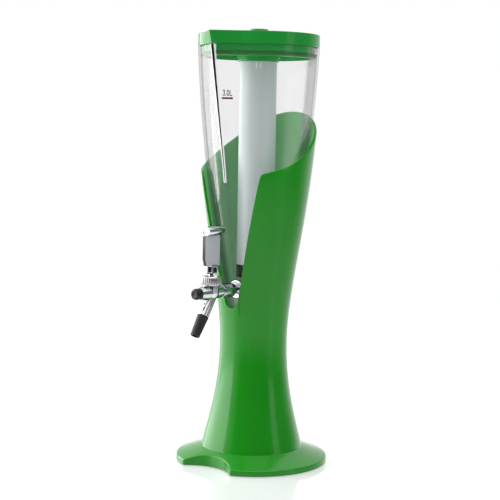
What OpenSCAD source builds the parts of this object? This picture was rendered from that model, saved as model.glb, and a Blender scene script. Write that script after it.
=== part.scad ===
// Table-top drink tower: a flared pedestal that opens into a collar, a clear
// tank with a sharp prow standing in it, a plug lid that carries an ice tube,
// and a lever tap.  Millimetres, +Z up, origin at the centre of the standing
// face, tap and prow toward -Y.

/* [Foot] */
// Radius of the foot's rim
foot_r = 105; // [95:1:115]
// Height of the rubber pads that show below the foot
pad_show = 1.2; // [0.8:0.1:2]
// Height of the foot's upright rim
rim_h = 8; // [6:0.5:10]
// Radius of the crease where the column leaves the foot
crease_r = 70; // [66:1:74]
// Height of that crease above the table
crease_z = 21; // [19:0.5:24]
// Radius of the round bite that takes a mug's edge
bite_r = 55; // [50:1:60]
// Distance from the axis to the deepest point of the bite
bite_reach = 78.5; // [77:0.5:84]
// Radius of a rubber pad
pad_r = 7; // [5:0.5:8]
// Thickness of the bottom cover
cover_t = 3; // [2.5:0.5:4]
// Height of the ballast plate
ballast_h = 7; // [5:0.5:8]
// Outer radius of the ballast plate
ballast_r = 62; // [50:1:64]
// Radius of the hole in the ballast plate
ballast_hole_r = 20; // [15:1:30]
// Radius of a cover screw's thread
screw_r = 1.7; // [1.5:0.1:2]
// Radius of a cover screw's head
screw_head_r = 3.4; // [3:0.1:4]

/* [Pedestal] */
// Wall of the pedestal and its collar
shell_t = 3.5; // [3:0.1:4.5]
// Radius of the column at its neck
neck_r = 46.9; // [45:0.1:48]
// Height of the neck above the table
neck_z = 175; // [165:1:185]
// Radius of the collar at its back peak
collar_r = 83.5; // [83:0.5:90]
// Height of the collar's back peak
collar_z = 488; // [470:1:500]
// Height of the collar at its two front corners
lapel_z = 401; // [385:1:405]
// Radius of the round bottom of the front opening
notch_r = 11.5; // [11:0.5:14]
// Distance of that round bottom's centre below the tap's axis
notch_drop = 14; // [13:0.5:16]
// Lean of the front opening's edges from upright, in degrees
notch_lean = 13.1; // [12:0.1:15]
// Radius of the rounded front corners
lapel_r = 9; // [6:0.5:12]
// Thickness of the shelf that the tank stands on
shelf_t = 5; // [4:0.5:7]
// Height of the locating lip on the shelf
lip_h = 8; // [5:0.5:10]
// Clearance round parts that are set in by hand
seat_gap = 0.4; // [0.3:0.05:0.6]

/* [Tank] */
// Height of the tank's underside above the table
tank_z = 203; // [202:0.5:206]
// Height of the tank
tank_h = 369; // [350:1:380]
// Wall of the tank
tank_t = 3; // [2.5:0.1:3.5]
// Floor of the tank
tank_floor = 3.5; // [3:0.1:5]
// Radius of the tank at its foot
tank_foot_r = 34; // [33:0.5:36]
// Radius of the tank at its rim
tank_rim_r = 83.4; // [83:0.1:86]
// Outward slope of the tank's side at its foot
tank_flare = 0.22; // [0.2:0.005:0.23]
// Distance from the axis to the prow edge at the rim
prow_r = 99.5; // [94:0.1:102]
// Forward lean of the prow edge
prow_lean = 0.182; // [0.17:0.002:0.2]
// Where the prow's flanks leave the round side, as a share of the turn to a smooth meeting
prow_spread = 0.7; // [0.6:0.01:0.9]

/* [Lid] */
// Height of the lid's side
lid_h = 18; // [15:0.5:22]
// Forward lean of the prow edge over the lid's side
lid_lean = 0.3; // [0.2:0.01:0.4]
// Wall of the lid's cap
lid_t = 3; // [2:0.1:4]
// How far the plug hangs below the lid's side
plug_drop = 14; // [12:0.5:16]
// Gap from the plug to the tank's inner wall
plug_gap = 3; // [2:0.1:4]
// Height of the seal in the plug's side
seal_h = 4; // [3:0.5:5]
// Radius of the knob on the lid
knob_r = 12.6; // [10:0.1:15]
// Height of the knob above the lid
knob_h = 7.5; // [6:0.5:12]

/* [Ice tube] */
// Turn that frees the ice tube, in degrees
turn_free = 60; // [45:1:80]
// Outer radius of the ice tube
tube_r = 25.5; // [24:0.1:27]
// Wall of the ice tube
tube_t = 2; // [1.5:0.1:2.5]
// Height of the underside of the tube's end cap above the tank's underside
tube_up = 54; // [53:0.5:59]
// Height of the tube's end cap
tube_cap_h = 18; // [14:0.5:22]
// Wall of the socket ring under the lid
socket_t = 2.2; // [2:0.1:3]
// Depth of the socket ring below the plug
socket_drop = 5; // [4:0.5:7]
// Radial clearance of the tube in its socket
socket_gap = 0.25; // [0.2:0.05:0.4]
// Clearance above and below the tube's bayonet lugs
lug_gap = 0.4; // [0.3:0.05:0.6]
// Height of a bayonet lug
lug_h = 3; // [2:0.1:4]
// How far a bayonet lug stands out of the tube
lug_out = 1.4; // [1:0.1:1.6]

/* [Tap] */
// Height of the tap's axis above the tank's underside
tap_up = 40; // [38:0.5:41]
// Distance from the axis to the tank's flat tap pad
pad_y = 37; // [36:0.5:38]
// Thickness of the tank's wall at the tap pad
tap_wall = 4; // [3:0.1:4.5]
// Radius of the shank's threaded tail
shank_r = 6; // [5.5:0.1:6.5]
// Radius of the shank's bore
shank_bore_r = 4; // [3:0.1:4.2]
// Radius of the flange against the tank
flange_r = 12.6; // [12:0.1:13]
// Thickness of the flange
flange_t = 3; // [2.5:0.1:4]
// Thickness of each tank seal
seal_t = 1.5; // [1:0.1:2]
// Size of the lock nut across its corners
lock_nut_d = 22; // [20:0.5:23]
// Thickness of the lock nut
lock_nut_t = 4.5; // [3:0.5:5]
// Outer radius of the coupling nut
coupling_r = 9.5; // [9.3:0.1:10.2]
// Distance from the axis to the lever's upright axis
lever_y = 93; // [91:0.5:95]
// Radius of the valve tower
tower_r = 11.2; // [11:0.1:11.6]
// Radius of the plunger
plunger_r = 6; // [5.8:0.1:6.2]
// Running clearance of the plunger in its bore
run_gap = 0.05; // [0.03:0.01:0.08]
// Largest radius of the front barrel
barrel_r = 10; // [9:0.1:10.5]
// Distance from the axis to the front end of the barrel
barrel_end = 116; // [114:0.5:118]
// Length of the black end cap
cap_l = 10; // [8:0.5:12]
// Radius of the end cap
cap_r = 7.7; // [7.2:0.1:8.2]
// Lean of the spout from upright, in degrees
spout_lean = 32.8; // [30:0.2:36]
// Outer radius of the spout
spout_r = 7.2; // [7:0.1:7.6]
// Radius of the spout's bore
spout_bore_r = 4.2; // [3.5:0.1:4.4]
// Distance along the spout to the rubber sleeve
sleeve_start = 36.5; // [34:0.5:40]
// Length of the rubber sleeve
sleeve_l = 29.5; // [26:0.5:32]

/* [Lever] */
// Furthest forward pull of the lever, in degrees
pull = 22; // [16:1:22]
// Height of the ball's centre above the tap's axis
ball_up = 14.5; // [14:0.1:15]
// Radius of the lever's ball
ball_r = 6.5; // [6.2:0.1:6.7]
// Running clearance round the ball
ball_gap = 0.1; // [0.05:0.01:0.2]
// Outer radius of the knurled bonnet ring
bonnet_r = 15; // [14:0.1:16]
// Height of the bonnet ring
bonnet_h = 12; // [11:0.5:13]
// Radius of the ball at the lever's lower tip
tip_r = 3.2; // [2.8:0.1:3.3]
// Radius of the lever's stem
stem_r = 1.5; // [1.3:0.1:1.6]
// Width of the lever's plate, front to back
plate_w = 30; // [26:0.5:34]
// Thickness of the lever's plate
plate_t = 4.6; // [4:0.1:6]
// Height of the lever's plate
plate_h = 41; // [34:0.5:46]
// Height of the lever plate's foot above the centre of the lever's ball
plate_up = 21.4; // [20:0.1:23]
// Radius of the grip across the lever's top
grip_r = 6.4; // [5.5:0.1:7]
// Length of the grip
grip_l = 34.5; // [30:0.5:38]
// Radius of the lever's hub
hub_r = 10; // [9:0.1:10.5]

/* [Hidden] */
$fn = 96;
eps = 0.01;
green = [0.13, 0.55, 0.16];
chrome = [0.82, 0.83, 0.85];
black = [0.08, 0.08, 0.09];
clear = [0.85, 0.9, 0.92, 0.35];

// ---- curves ---------------------------------------------------------------
// A point of a cubic curve, and a run of such points
function cubic(p, t) = pow(1 - t, 3) * p[0] + 3 * t * pow(1 - t, 2) * p[1]
    + 3 * t * t * (1 - t) * p[2] + pow(t, 3) * p[3];
function run_of(p, n) = [for (i = [0:n]) cubic(p, i / n)];
function reversed(list) = [for (i = [len(list) - 1:-1:0]) list[i]];
curve_n = 16;

// The pedestal's outside, from the crease up to the neck and on to the collar
waist_up = [[crease_r, crease_z], [crease_r - 4, crease_z + 23],
            [neck_r - 1.4, neck_z - 75], [neck_r, neck_z]];
neck_up = [[neck_r, neck_z], [neck_r + 2, neck_z + 82],
           [collar_r - 8, collar_z - 147], [collar_r, collar_z]];
column_side = concat(run_of(waist_up, curve_n), run_of(neck_up, curve_n));

// ---- foot -----------------------------------------------------------------
edge_soft = 2.5;
rim_top = pad_show + rim_h;
bite_y = -(bite_reach + bite_r);
cover_top = pad_show + cover_t;
cover_r = foot_r - shell_t - seat_gap;
screw_ring_r = foot_r - 25;
pad_ring_r = foot_r - 15;
boss_r = screw_r + 3;
pad_sink = 1;
pad_angles = [45, 135, 225, 315];
screw_angles = [for (i = [0:5]) 60 * i];

// ---- tank -----------------------------------------------------------------
rim_z = tank_z + tank_h;
tank_ease = (tank_foot_r + tank_flare * tank_h - tank_rim_r) / pow(tank_h, 2);
// Outside radius of the tank at a height, and of the lid's upright side above the rim
function tank_r(z) = let (up = min(z, rim_z) - tank_z) tank_foot_r + tank_flare * up - tank_ease * pow(up, 2);
// Distance of the prow edge from the axis at a height
function prow_at(z) = prow_r + (z < rim_z ? prow_lean : lid_lean) * (z - rim_z);
// Turn from the front at which the prow's flanks leave the round side
function prow_turn(z) = prow_spread * acos(min(1, tank_r(z) / prow_at(min(z, rim_z))));
prow_foot = prow_r - prow_lean * tank_h;
// Height at which the prow grows out of the round side
prow_b = tank_flare - prow_lean;
prow_start = tank_z + (prow_b + sqrt(pow(prow_b, 2) + 4 * tank_ease * (tank_foot_r - prow_foot)))
    / (2 * tank_ease);
// The flanks' inner corners lie at least this far inside the round side, so that the two overlap
touch_sink = 0.998;
tap_boss_r = flange_r + 5.4;
tap_pocket_r = flange_r + 2.4;
tank_toe = 3;

// ---- pedestal -------------------------------------------------------------
tap_z = tank_z + tap_up;
notch_z = tap_z - notch_drop;
shelf_z = tank_z - shelf_t;
lip_r = tank_r(tank_z + lip_h) + seat_gap;
lip_t = 2.5;
lean_run = tan(notch_lean);
notch_side_x = notch_r * cos(notch_lean);
notch_side_z = notch_z - notch_r * sin(notch_lean);
// Half the width of the front opening at a height
function notch_half(z) = notch_side_x + lean_run * (z - notch_side_z);
// The collar's top edge, seen from the side as [y, z]
collar_edge = [[-60, lapel_z], [-14, lapel_z + 11], [30, collar_z - 51], [collar_r + 1, collar_z]];

// ---- lid ------------------------------------------------------------------
lid_top = rim_z + lid_h;
plug_z = rim_z - plug_drop;
seal_z = plug_z + 2;
seal_bite = 2;
socket_z = plug_z - socket_drop;
tube_z = tank_z + tube_up;
socket_in = tube_r + socket_gap;
socket_r = socket_in + socket_t;
track_r = socket_in + lug_out + socket_gap;
lug_z = plug_z + 1.5;
lug_arc = 14;
way_w = 2 * track_r * sin(lug_arc / 2) + 2;
tube_top = lug_z + lug_h + 6;

// ---- tap ------------------------------------------------------------------
seal_out_y = pad_y + seal_t;
flange_y = seal_out_y + flange_t;
pad_in_y = pad_y - tap_wall;
nut_y = pad_in_y - seal_t - lock_nut_t;
shank_in_y = nut_y - 1;
head_y = 57;
head_t = 3;
head_end = head_y + head_t;
spigot_y = head_end + 1;
spigot_r = 7.5;
nut_cone_y = flange_y + 3;
nut_cone_l = 6.5;
coupling_end = lever_y - tower_r - 8.8;
coupling_flat = 0.6;
thread_gap = 0.1;
bore_r = plunger_r + run_gap;
seat_r = 4.5;
seat_from = lever_y - 22;
seat_to = lever_y - 16;
bore_back = lever_y - 15;
inlet_r = 5.4;
tip_z = tap_z;
ball_z = tap_z + ball_up;
stem_room = 6.2;
tower_top = ball_z + 0.5;
seat_ring_r = 9;
seat_ring_hole = 5;
seat_ring_z = ball_z - 7;
bonnet_z = ball_z - 4.5;
bonnet_top = bonnet_z + bonnet_h;
spout_y = lever_y - 5;
sleeve_grip = 23;
spout_tip_r = 5.4;
sleeve_gap = 0.1;
vent_r = 1.2;
vent_z = 14;
cap_plug_l = 3.5;
slot_w = 2 * tip_r + 1.8;
slot_x = 2 * tip_r + 0.6;
plunger_front = barrel_end - 7;
plunger_back = lever_y - 5.5;
piston_r = seat_r - run_gap;
piston_l = 4;
piston_y = seat_from + 0.5;
ring_bite = 1;

// ---- lever ----------------------------------------------------------------
hub_neck_r = 3.6;
hub_z = bonnet_top + 2.6;
plate_z = ball_z + plate_up;
plate_top = plate_z + plate_h;
grip_z = plate_top + grip_r - 0.8;
grip_y = -86.5;
window_w = 7.2;
window_h = 7;
window_d = 2.5;
window_z = hub_z + 2.8;
hub_half = 7;

// ===========================================================================
// shared shapes
// ===========================================================================

// A cylinder that lies along the tap's axis, from one distance to another
module along_tap(from, to, r1, r2 = undef) {
    translate([0, -from, tap_z]) rotate([90, 0, 0])
        cylinder(h = to - from, r1 = r1, r2 = is_undef(r2) ? r1 : r2);
}

// Places its children on the spout's leaning axis, +Z running down the spout
module on_spout() {
    translate([0, -spout_y, tap_z]) rotate([180 - spout_lean, 0, 0]) children();
}

// A ring of square section
module ring(r_out, r_in, h) {
    difference() {
        cylinder(h = h, r = r_out);
        translate([0, 0, -1]) cylinder(h = h + 2, r = r_in);
    }
}

// An O-ring that lies flat
module o_ring(r_mid, r_wire) {
    rotate_extrude() translate([r_mid, 0]) circle(r = r_wire, $fn = 32);
}

// A turned solid whose side follows the tank's curve, pulled in by inset
module tank_round(z0, z1, inset) {
    steps = 14;
    side = [for (i = [0:steps]) let (z = z0 + (z1 - z0) * i / steps) [tank_r(z) - inset, z]];
    rotate_extrude() polygon(concat([[0, z0]], side, [[0, z1]]));
}

// The prow's tip, and the two points inside the round side where its flanks come nearest to the axis
function prow_corners(z, inset) = let (
        r = tank_r(z) - inset,
        tip = prow_at(z) * r / tank_r(z),
        turn = prow_turn(z),
        near = tip * r * sin(turn) / sqrt(tip * tip + r * r - 2 * tip * r * cos(turn)),
        aside = acos(near / tip),
        reach = min(near, r * touch_sink))
    [[0, -tip], [reach * sin(aside), -reach * cos(aside)], [-reach * sin(aside), -reach * cos(aside)]];

// The wedge that adds the sharp prow to the round side, pulled in by inset
module prow_wedge(z0, z1, inset) {
    levels = 5;
    points = [for (i = [0:levels]) let (z = z0 + (z1 - z0) * i / levels)
        for (p = prow_corners(z, inset)) [p[0], p[1], z]];
    sides = [for (i = [0:levels - 1]) let (a = 3 * i, b = 3 * (i + 1))
        each [[a, b, a + 1], [b, b + 1, a + 1], [a + 1, b + 1, b + 2], [a + 1, b + 2, a + 2],
              [a, a + 2, b], [a + 2, b + 2, b]]];
    polyhedron(points, concat([[0, 1, 2]], sides, [[3 * levels + 2, 3 * levels + 1, 3 * levels]]));
}

// Round side and prow together
module prow_solid(z0, z1, inset) {
    tank_round(z0, z1, inset);
    prow_wedge(max(z0, prow_start + 3), z1, inset);
}

// The tank's plan at a height, pulled in by inset and raised straight up
module prow_plug(z0, z1, inset, at = plug_z) {
    translate([0, 0, z0]) linear_extrude(z1 - z0) {
        circle(r = tank_r(at) - inset);
        polygon(prow_corners(at, inset));
    }
}

// The bite in the foot's front edge, grown by a wall or a gap
module bite(grow) {
    translate([0, bite_y, -1]) cylinder(h = crease_z + 20, r = bite_r + grow);
}

// ===========================================================================
// foot and pedestal
// ===========================================================================

module foot_outline() {
    soft = [for (a = [0:15:75]) [foot_r - edge_soft + edge_soft * cos(a), rim_top - edge_soft + edge_soft * sin(a)]];
    polygon(concat([[0, pad_show], [foot_r, pad_show]], soft, column_side, [[0, collar_z]]));
}

// The same outline with the wall taken off, open at the bottom
module foot_hollow() {
    inner = [for (p = column_side) if (p[1] > crease_z + 1) [p[0] - shell_t, p[1]]];
    polygon(concat([[0, pad_show - 1], [foot_r - shell_t, pad_show - 1],
                    [foot_r - shell_t, rim_top - shell_t],
                    [crease_r - shell_t, crease_z - shell_t + 0.6]],
                   inner, [[0, collar_z + 1]]));
}

// Everything in front of the wall that the front opening takes away
module front_opening() {
    corner_z = lapel_z + 2.6 - lapel_r;
    corner_x = notch_half(corner_z) + lapel_r / cos(notch_lean);
    right = concat(
        [for (a = [-90:15:-15]) [notch_r * cos(a), notch_z + notch_r * sin(a)]],
        [[notch_side_x, notch_side_z]],
        [for (a = [180 - notch_lean:-12:90]) [corner_x + lapel_r * cos(a), corner_z + lapel_r * sin(a)]],
        [[corner_x, corner_z + lapel_r], [corner_x, collar_z + 5]]);
    left = [for (p = reversed(right)) if (p[0] > 0.001) [-p[0], p[1]]];
    translate([0, -30, 0]) rotate([90, 0, 0]) linear_extrude(collar_r) polygon(concat(right, left));
}

// Everything above the collar's sloping top edge
module above_collar() {
    edge = run_of(collar_edge, 20);
    rotate([90, 0, 90]) translate([0, 0, -collar_r - 5]) linear_extrude(2 * collar_r + 10)
        polygon(concat([[-collar_r - 20, lapel_z]], edge,
                       [[collar_r + 20, collar_z + 3], [collar_r + 20, collar_z + 60],
                        [-collar_r - 20, collar_z + 60]]));
}

module pedestal_shell() {
    color(green) {
        difference() {
            rotate_extrude() foot_outline();
            difference() {
                rotate_extrude() foot_hollow();
                bite(shell_t);
            }
            bite(0);
            front_opening();
            above_collar();
        }
        // shelf and lip that seat the tank
        intersection() {
            translate([0, 0, shelf_z]) ring(neck_r + 3, tank_foot_r - 12, shelf_t);
            rotate_extrude() foot_outline();
        }
        translate([0, 0, tank_z - eps]) ring(lip_r + lip_t, lip_r, lip_h);
        // screw bosses under the foot
        for (a = screw_angles) rotate(a) translate([screw_ring_r, 0, cover_top]) screw_boss();
    }
}

// A boss that reaches up into the foot's sloping top
module screw_boss() {
    slope = (crease_z - rim_top) / (foot_r - crease_r);
    boss_top = rim_top + slope * (foot_r - screw_ring_r) - shell_t / 2;
    ring(boss_r, screw_r, boss_top - cover_top);
}

module bottom_cover() {
    color(black) difference() {
        translate([0, 0, pad_show]) cylinder(h = cover_t, r = cover_r);
        bite(shell_t + seat_gap);
        for (a = screw_angles) rotate(a) translate([screw_ring_r, 0, 0]) {
            cylinder(h = cover_top + 1, r = screw_r + 0.3);
            cylinder(h = pad_show + 1.5, r = screw_head_r + 0.3);
        }
        for (p = pad_places()) translate(p) cylinder(h = pad_show + pad_sink, r = pad_r + 0.1);
    }
}

// The pads stand on a ring near the rim, and one is at the centre
function pad_places() = concat([[0, 0, 0]],
    [for (a = pad_angles) [pad_ring_r * cos(a), pad_ring_r * sin(a), 0]]);

module rubber_feet() {
    color(black) for (p = pad_places()) translate(p) cylinder(h = pad_show + pad_sink, r = pad_r);
}

module ballast_plate() {
    color("dimgray") translate([0, 0, cover_top]) ring(ballast_r, ballast_hole_r, ballast_h);
}

module cover_screws() {
    color("silver") for (a = screw_angles) rotate(a) translate([screw_ring_r, 0, 0]) {
        translate([0, 0, pad_show + 1.5]) cylinder(h = cover_top + 6 - pad_show - 1.5, r = screw_r - 0.02);
        difference() {
            translate([0, 0, pad_show]) cylinder(h = 1.5, r = screw_head_r);
            translate([-0.4, -2.2, pad_show - 0.1]) cube([0.8, 4.4, 0.9]);
            translate([-2.2, -0.4, pad_show - 0.1]) cube([4.4, 0.8, 0.9]);
        }
    }
}

// ===========================================================================
// tank
// ===========================================================================

module tank() {
    color(clear) difference() {
        union() {
            rotate_extrude() polygon([[0, tank_z], [tank_r(tank_z) - tank_toe, tank_z],
                                      [tank_r(tank_z + tank_toe), tank_z + tank_toe], [0, tank_z + tank_toe]]);
            prow_solid(tank_z + tank_toe, rim_z, 0);
        }
        difference() {
            prow_solid(tank_z + tank_floor, rim_z + 1, tank_t);
            along_tap(pad_in_y, pad_in_y + 40, tap_boss_r);
        }
        along_tap(pad_y, pad_y + 40, tap_pocket_r);
        along_tap(pad_in_y - 1, pad_y + 1, shank_r + 0.2);
    }
}

// ===========================================================================
// lid
// ===========================================================================

module lid_cap() {
    color(green) difference() {
        prow_solid(rim_z, lid_top, 0);
        prow_solid(rim_z - 1, lid_top - lid_t, lid_t);
        translate([0, 0, rim_z]) cylinder(h = lid_h + 1, r = knob_r / 2 + 0.1);
    }
}

// Stands inside the cap and plugs the tank's mouth, with the tube's socket below
module lid_plug() {
    inset = tank_t + plug_gap;
    seal_top = seal_z + seal_h;
    color(green) difference() {
        union() {
            // the plug's wall is stepped in where the seal lies
            prow_plug(plug_z, seal_z, inset);
            prow_plug(seal_z, seal_top, inset + seal_bite);
            prow_plug(seal_top, lid_top - lid_t, inset);
            translate([0, 0, socket_z]) cylinder(h = socket_drop + 1, r = socket_r);
        }
        // hollow from below, left standing round the socket and the knob's spigot
        difference() {
            prow_plug(plug_z - 1, lid_top - 2 * lid_t, inset + seal_bite + lid_t);
            cylinder(h = lid_top, r = track_r + socket_t);
        }
        // the tube's socket, its lug track and the two ways in
        translate([0, 0, socket_z - 1]) cylinder(h = tube_top - socket_z + 1.3, r = socket_in);
        translate([0, 0, lug_z - lug_gap]) cylinder(h = lug_h + 2 * lug_gap, r = track_r);
        for (a = [turn_free, turn_free + 180]) rotate(a)
            translate([0, -way_w / 2, socket_z - 1]) cube([track_r - 0.3, way_w, lug_z - socket_z + 1]);
        // seat of the knob's spigot
        translate([0, 0, lid_top - lid_t - 9]) cylinder(h = 10, r = knob_r / 2 + 0.1);
    }
}

// A sector of a disc
module lug_sector(z0, z1, r, arc) {
    translate([0, 0, z0]) linear_extrude(z1 - z0)
        polygon(concat([[0, 0]], [for (i = [0:4]) let (a = -arc / 2 + arc * i / 4) [r * cos(a), r * sin(a)]]));
}

module lid_seal() {
    color(green) difference() {
        prow_plug(seal_z, seal_z + seal_h, tank_t + seat_gap);
        prow_plug(seal_z - 1, seal_z + seal_h + 1, tank_t + plug_gap + seal_bite);
    }
}

module lid_knob() {
    soft = 1.5;
    color(green) {
        rotate_extrude() polygon(concat([[0, lid_top], [knob_r, lid_top]],
            [for (a = [0:15:90]) [knob_r - soft + soft * cos(a), lid_top + knob_h - soft + soft * sin(a)]],
            [[0, lid_top + knob_h]]));
        translate([0, 0, lid_top - lid_t - 8]) cylinder(h = lid_t + 8 + eps, r = knob_r / 2);
    }
}

// ===========================================================================
// ice tube
// ===========================================================================

module ice_tube() {
    mark_w = 1.6;
    mark_l = 7.4;
    color([0.85, 0.88, 0.9, 0.8]) {
        difference() {
            translate([0, 0, tube_z + tube_cap_h]) cylinder(h = tube_top - tube_z - tube_cap_h, r = tube_r);
            translate([0, 0, tube_z]) cylinder(h = tube_top, r = tube_r - tube_t);
        }
        // neck that the end cap is pressed over
        translate([0, 0, tube_z + tube_cap_h - 10]) ring(tube_r - tube_t + 0.6, tube_r - 2 * tube_t, 10 + tube_t);
        // bayonet lugs
        difference() {
            for (a = [0, 180]) rotate(a) lug_sector(lug_z, lug_z + lug_h, tube_r + lug_out, lug_arc);
            cylinder(h = lid_top, r = tube_r - tube_t / 2);
        }
        // alignment ribs below the socket
        for (a = [-57, -45]) rotate(a) translate([tube_r - tube_t / 2, -mark_w / 2, socket_z - 1.6 - mark_l])
            cube([tube_t / 2 + 0.8, mark_w, mark_l]);
    }
}

module ice_tube_cap() {
    floor_t = 3;
    color(black) difference() {
        translate([0, 0, tube_z]) cylinder(h = tube_cap_h, r = tube_r + 0.2);
        translate([0, 0, tube_z + floor_t]) cylinder(h = tube_cap_h, r = tube_r - tube_t + 0.7);
    }
}

module ice_tube_seal() {
    wire = 1.2;
    color("dimgray") translate([0, 0, tube_z + tube_cap_h - 10 - wire - 0.05])
        o_ring(tube_r - 1.5 * tube_t - 0.3, wire);
}

// ===========================================================================
// tap: what clamps it to the tank
// ===========================================================================

module tap_lock_nut() {
    color(chrome) difference() {
        translate([0, -nut_y, tap_z]) rotate([90, 0, 0]) cylinder(h = lock_nut_t, r = lock_nut_d / 2, $fn = 6);
        along_tap(nut_y - 1, nut_y + lock_nut_t + 1, shank_r + thread_gap);
    }
}

module tank_washer(from, r) {
    color(black) difference() {
        along_tap(from, from + seal_t, r);
        along_tap(from - 1, from + seal_t + 1, shank_r + 0.2);
    }
}

module tap_inner_seal() {
    tank_washer(pad_in_y - seal_t, lock_nut_d / 2);
}

module tap_outer_seal() {
    tank_washer(pad_y, flange_r + 0.5);
}

module tap_flange() {
    color(chrome) difference() {
        union() {
            along_tap(seal_out_y, flange_y - 1.2, flange_r);
            along_tap(flange_y - 1.2, flange_y, flange_r, flange_r - 1.6);
        }
        along_tap(seal_out_y - 1, flange_y + 1, shank_r + thread_gap);
        // dished face inside the raised rim
        along_tap(flange_y - 1, flange_y + 1, flange_r - 3.4, flange_r - 2.2);
    }
}

module tap_shank() {
    color(chrome) difference() {
        union() {
            along_tap(shank_in_y, head_end, shank_r);
            along_tap(head_y, head_end, spigot_r - 0.1);
        }
        along_tap(shank_in_y - 1, head_end + 1, shank_bore_r);
    }
}

// Round with a cone toward the flange, and eight flats cut along it
module tap_coupling_nut() {
    color(chrome) difference() {
        intersection() {
            union() {
                along_tap(nut_cone_y, nut_cone_y + nut_cone_l, shank_r + 1, coupling_r);
                along_tap(nut_cone_y + nut_cone_l, coupling_end, coupling_r);
            }
            translate([0, -nut_cone_y + 1, tap_z]) rotate([90, 0, 0]) rotate(22.5)
                cylinder(h = coupling_end - nut_cone_y + 2, r = (coupling_r - coupling_flat) / cos(22.5), $fn = 8);
        }
        along_tap(nut_cone_y - 1, coupling_end + 1, shank_r + thread_gap);
        along_tap(head_y - 0.3, coupling_end + 1, spigot_r + thread_gap);
    }
}

module shank_washer() {
    color(black) difference() {
        along_tap(head_end, spigot_y, spigot_r - 0.1);
        along_tap(head_end - 1, spigot_y + 1, shank_bore_r + 0.4);
    }
}

// ===========================================================================
// tap: body and its fittings
// ===========================================================================

module tap_body() {
    shoulder = 13;
    bell = [[barrel_r, lever_y], [barrel_r, barrel_end - shoulder + 2],
            [cap_r + 0.6, barrel_end - 5], [cap_r - 0.3, barrel_end]];
    color(chrome) difference() {
        union() {
            // spigot in the coupling nut, and the barrel with its bell mouth
            along_tap(spigot_y, lever_y, spigot_r);
            along_tap(coupling_end + 0.6, lever_y, spigot_r + 1.2);
            translate([0, 0, tap_z]) rotate([90, 0, 0])
                rotate_extrude() polygon(concat([[0, lever_y]], run_of(bell, 8), [[0, barrel_end]]));
            // valve tower
            translate([0, -lever_y, tap_z]) cylinder(h = tower_top - tap_z, r = tower_r);
            translate([0, -lever_y, tap_z]) sphere(r = tower_r);
            // spout
            on_spout() cylinder(h = sleeve_start, r = spout_r);
            on_spout() cylinder(h = sleeve_start + sleeve_grip, r = spout_tip_r);
        }
        // waterway and plunger bore
        along_tap(spigot_y - 1, seat_from, inlet_r);
        along_tap(seat_from - 1, seat_to + 1, seat_r);
        along_tap(seat_to, bore_back, inlet_r);
        along_tap(bore_back, barrel_end + 1, bore_r);
        // the lever's room, and the counterbore that takes the ball's seat
        translate([0, -lever_y, tap_z]) cylinder(h = ball_up, r = stem_room);
        translate([0, -lever_y, seat_ring_z]) cylinder(h = tower_top, r = seat_ring_r + 0.1);
        // spout bore and its vent
        on_spout() translate([0, 0, 2]) cylinder(h = sleeve_start + sleeve_grip, r = spout_bore_r);
        translate([0, -spout_y - vent_z * tan(spout_lean), tap_z - vent_z]) rotate([90, 0, 0])
            cylinder(h = 20, r = vent_r);
    }
}

module tap_end_cap() {
    color(black) {
        intersection() {
            along_tap(barrel_end, barrel_end + cap_l, cap_r, cap_r - 0.5);
            translate([0, -barrel_end, tap_z]) rotate([90, 0, 0]) rotate(22.5)
                cylinder(h = cap_l, r = cap_r / cos(22.5) - 0.25, $fn = 8);
        }
        difference() {
            along_tap(barrel_end - cap_plug_l, barrel_end + eps, bore_r - 0.05);
            along_tap(barrel_end - 2.6, barrel_end - 1, bore_r + 1);
        }
        along_tap(barrel_end - cap_plug_l, barrel_end, bore_r - ring_bite - 0.2);
    }
}

module end_cap_seal() {
    color("dimgray") translate([0, -(barrel_end - 1.8), tap_z]) rotate([90, 0, 0])
        difference() {
            translate([0, 0, -0.7]) cylinder(h = 1.4, r = bore_r - 0.02);
            translate([0, 0, -2]) cylinder(h = 4, r = bore_r - ring_bite - 0.15);
        }
}

module nozzle_sleeve() {
    color(black) on_spout() difference() {
        translate([0, 0, sleeve_start]) cylinder(h = sleeve_l, r1 = spout_r + 0.7, r2 = spout_tip_r + 0.7);
        translate([0, 0, sleeve_start - 1])
            cylinder(h = sleeve_grip + 1.3, r = spout_tip_r + sleeve_gap);
        translate([0, 0, sleeve_start]) cylinder(h = sleeve_l + 1, r = spout_bore_r);
    }
}

module bonnet_ring() {
    knurls = 30;
    lip = 3.1;
    color("gainsboro") translate([0, -lever_y, 0]) difference() {
        union() {
            translate([0, 0, bonnet_z]) cylinder(h = 1.2, r1 = bonnet_r - 1.2, r2 = bonnet_r);
            translate([0, 0, bonnet_z + 1.2]) cylinder(h = bonnet_h - 2.4, r = bonnet_r);
            translate([0, 0, bonnet_top - 1.2]) cylinder(h = 1.2, r1 = bonnet_r, r2 = bonnet_r - 1.2);
        }
        // thread over the tower, then the cup that keeps the ball down
        translate([0, 0, bonnet_z - 1]) cylinder(h = tower_top - bonnet_z + 1.2, r = tower_r + thread_gap);
        translate([0, 0, tower_top - 1]) cylinder(h = bonnet_top - lip - tower_top + 1, r = ball_r + 1);
        translate([0, 0, ball_z]) sphere(r = ball_r + ball_gap);
        translate([0, 0, bonnet_top - lip]) cylinder(h = lip + eps, r1 = 5.6, r2 = 8.2);
        for (i = [0:knurls - 1]) rotate(360 * i / knurls) translate([bonnet_r + 0.3, 0, bonnet_z - 1])
            cylinder(h = bonnet_h + 2, r = 0.8, $fn = 16);
    }
}

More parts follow.
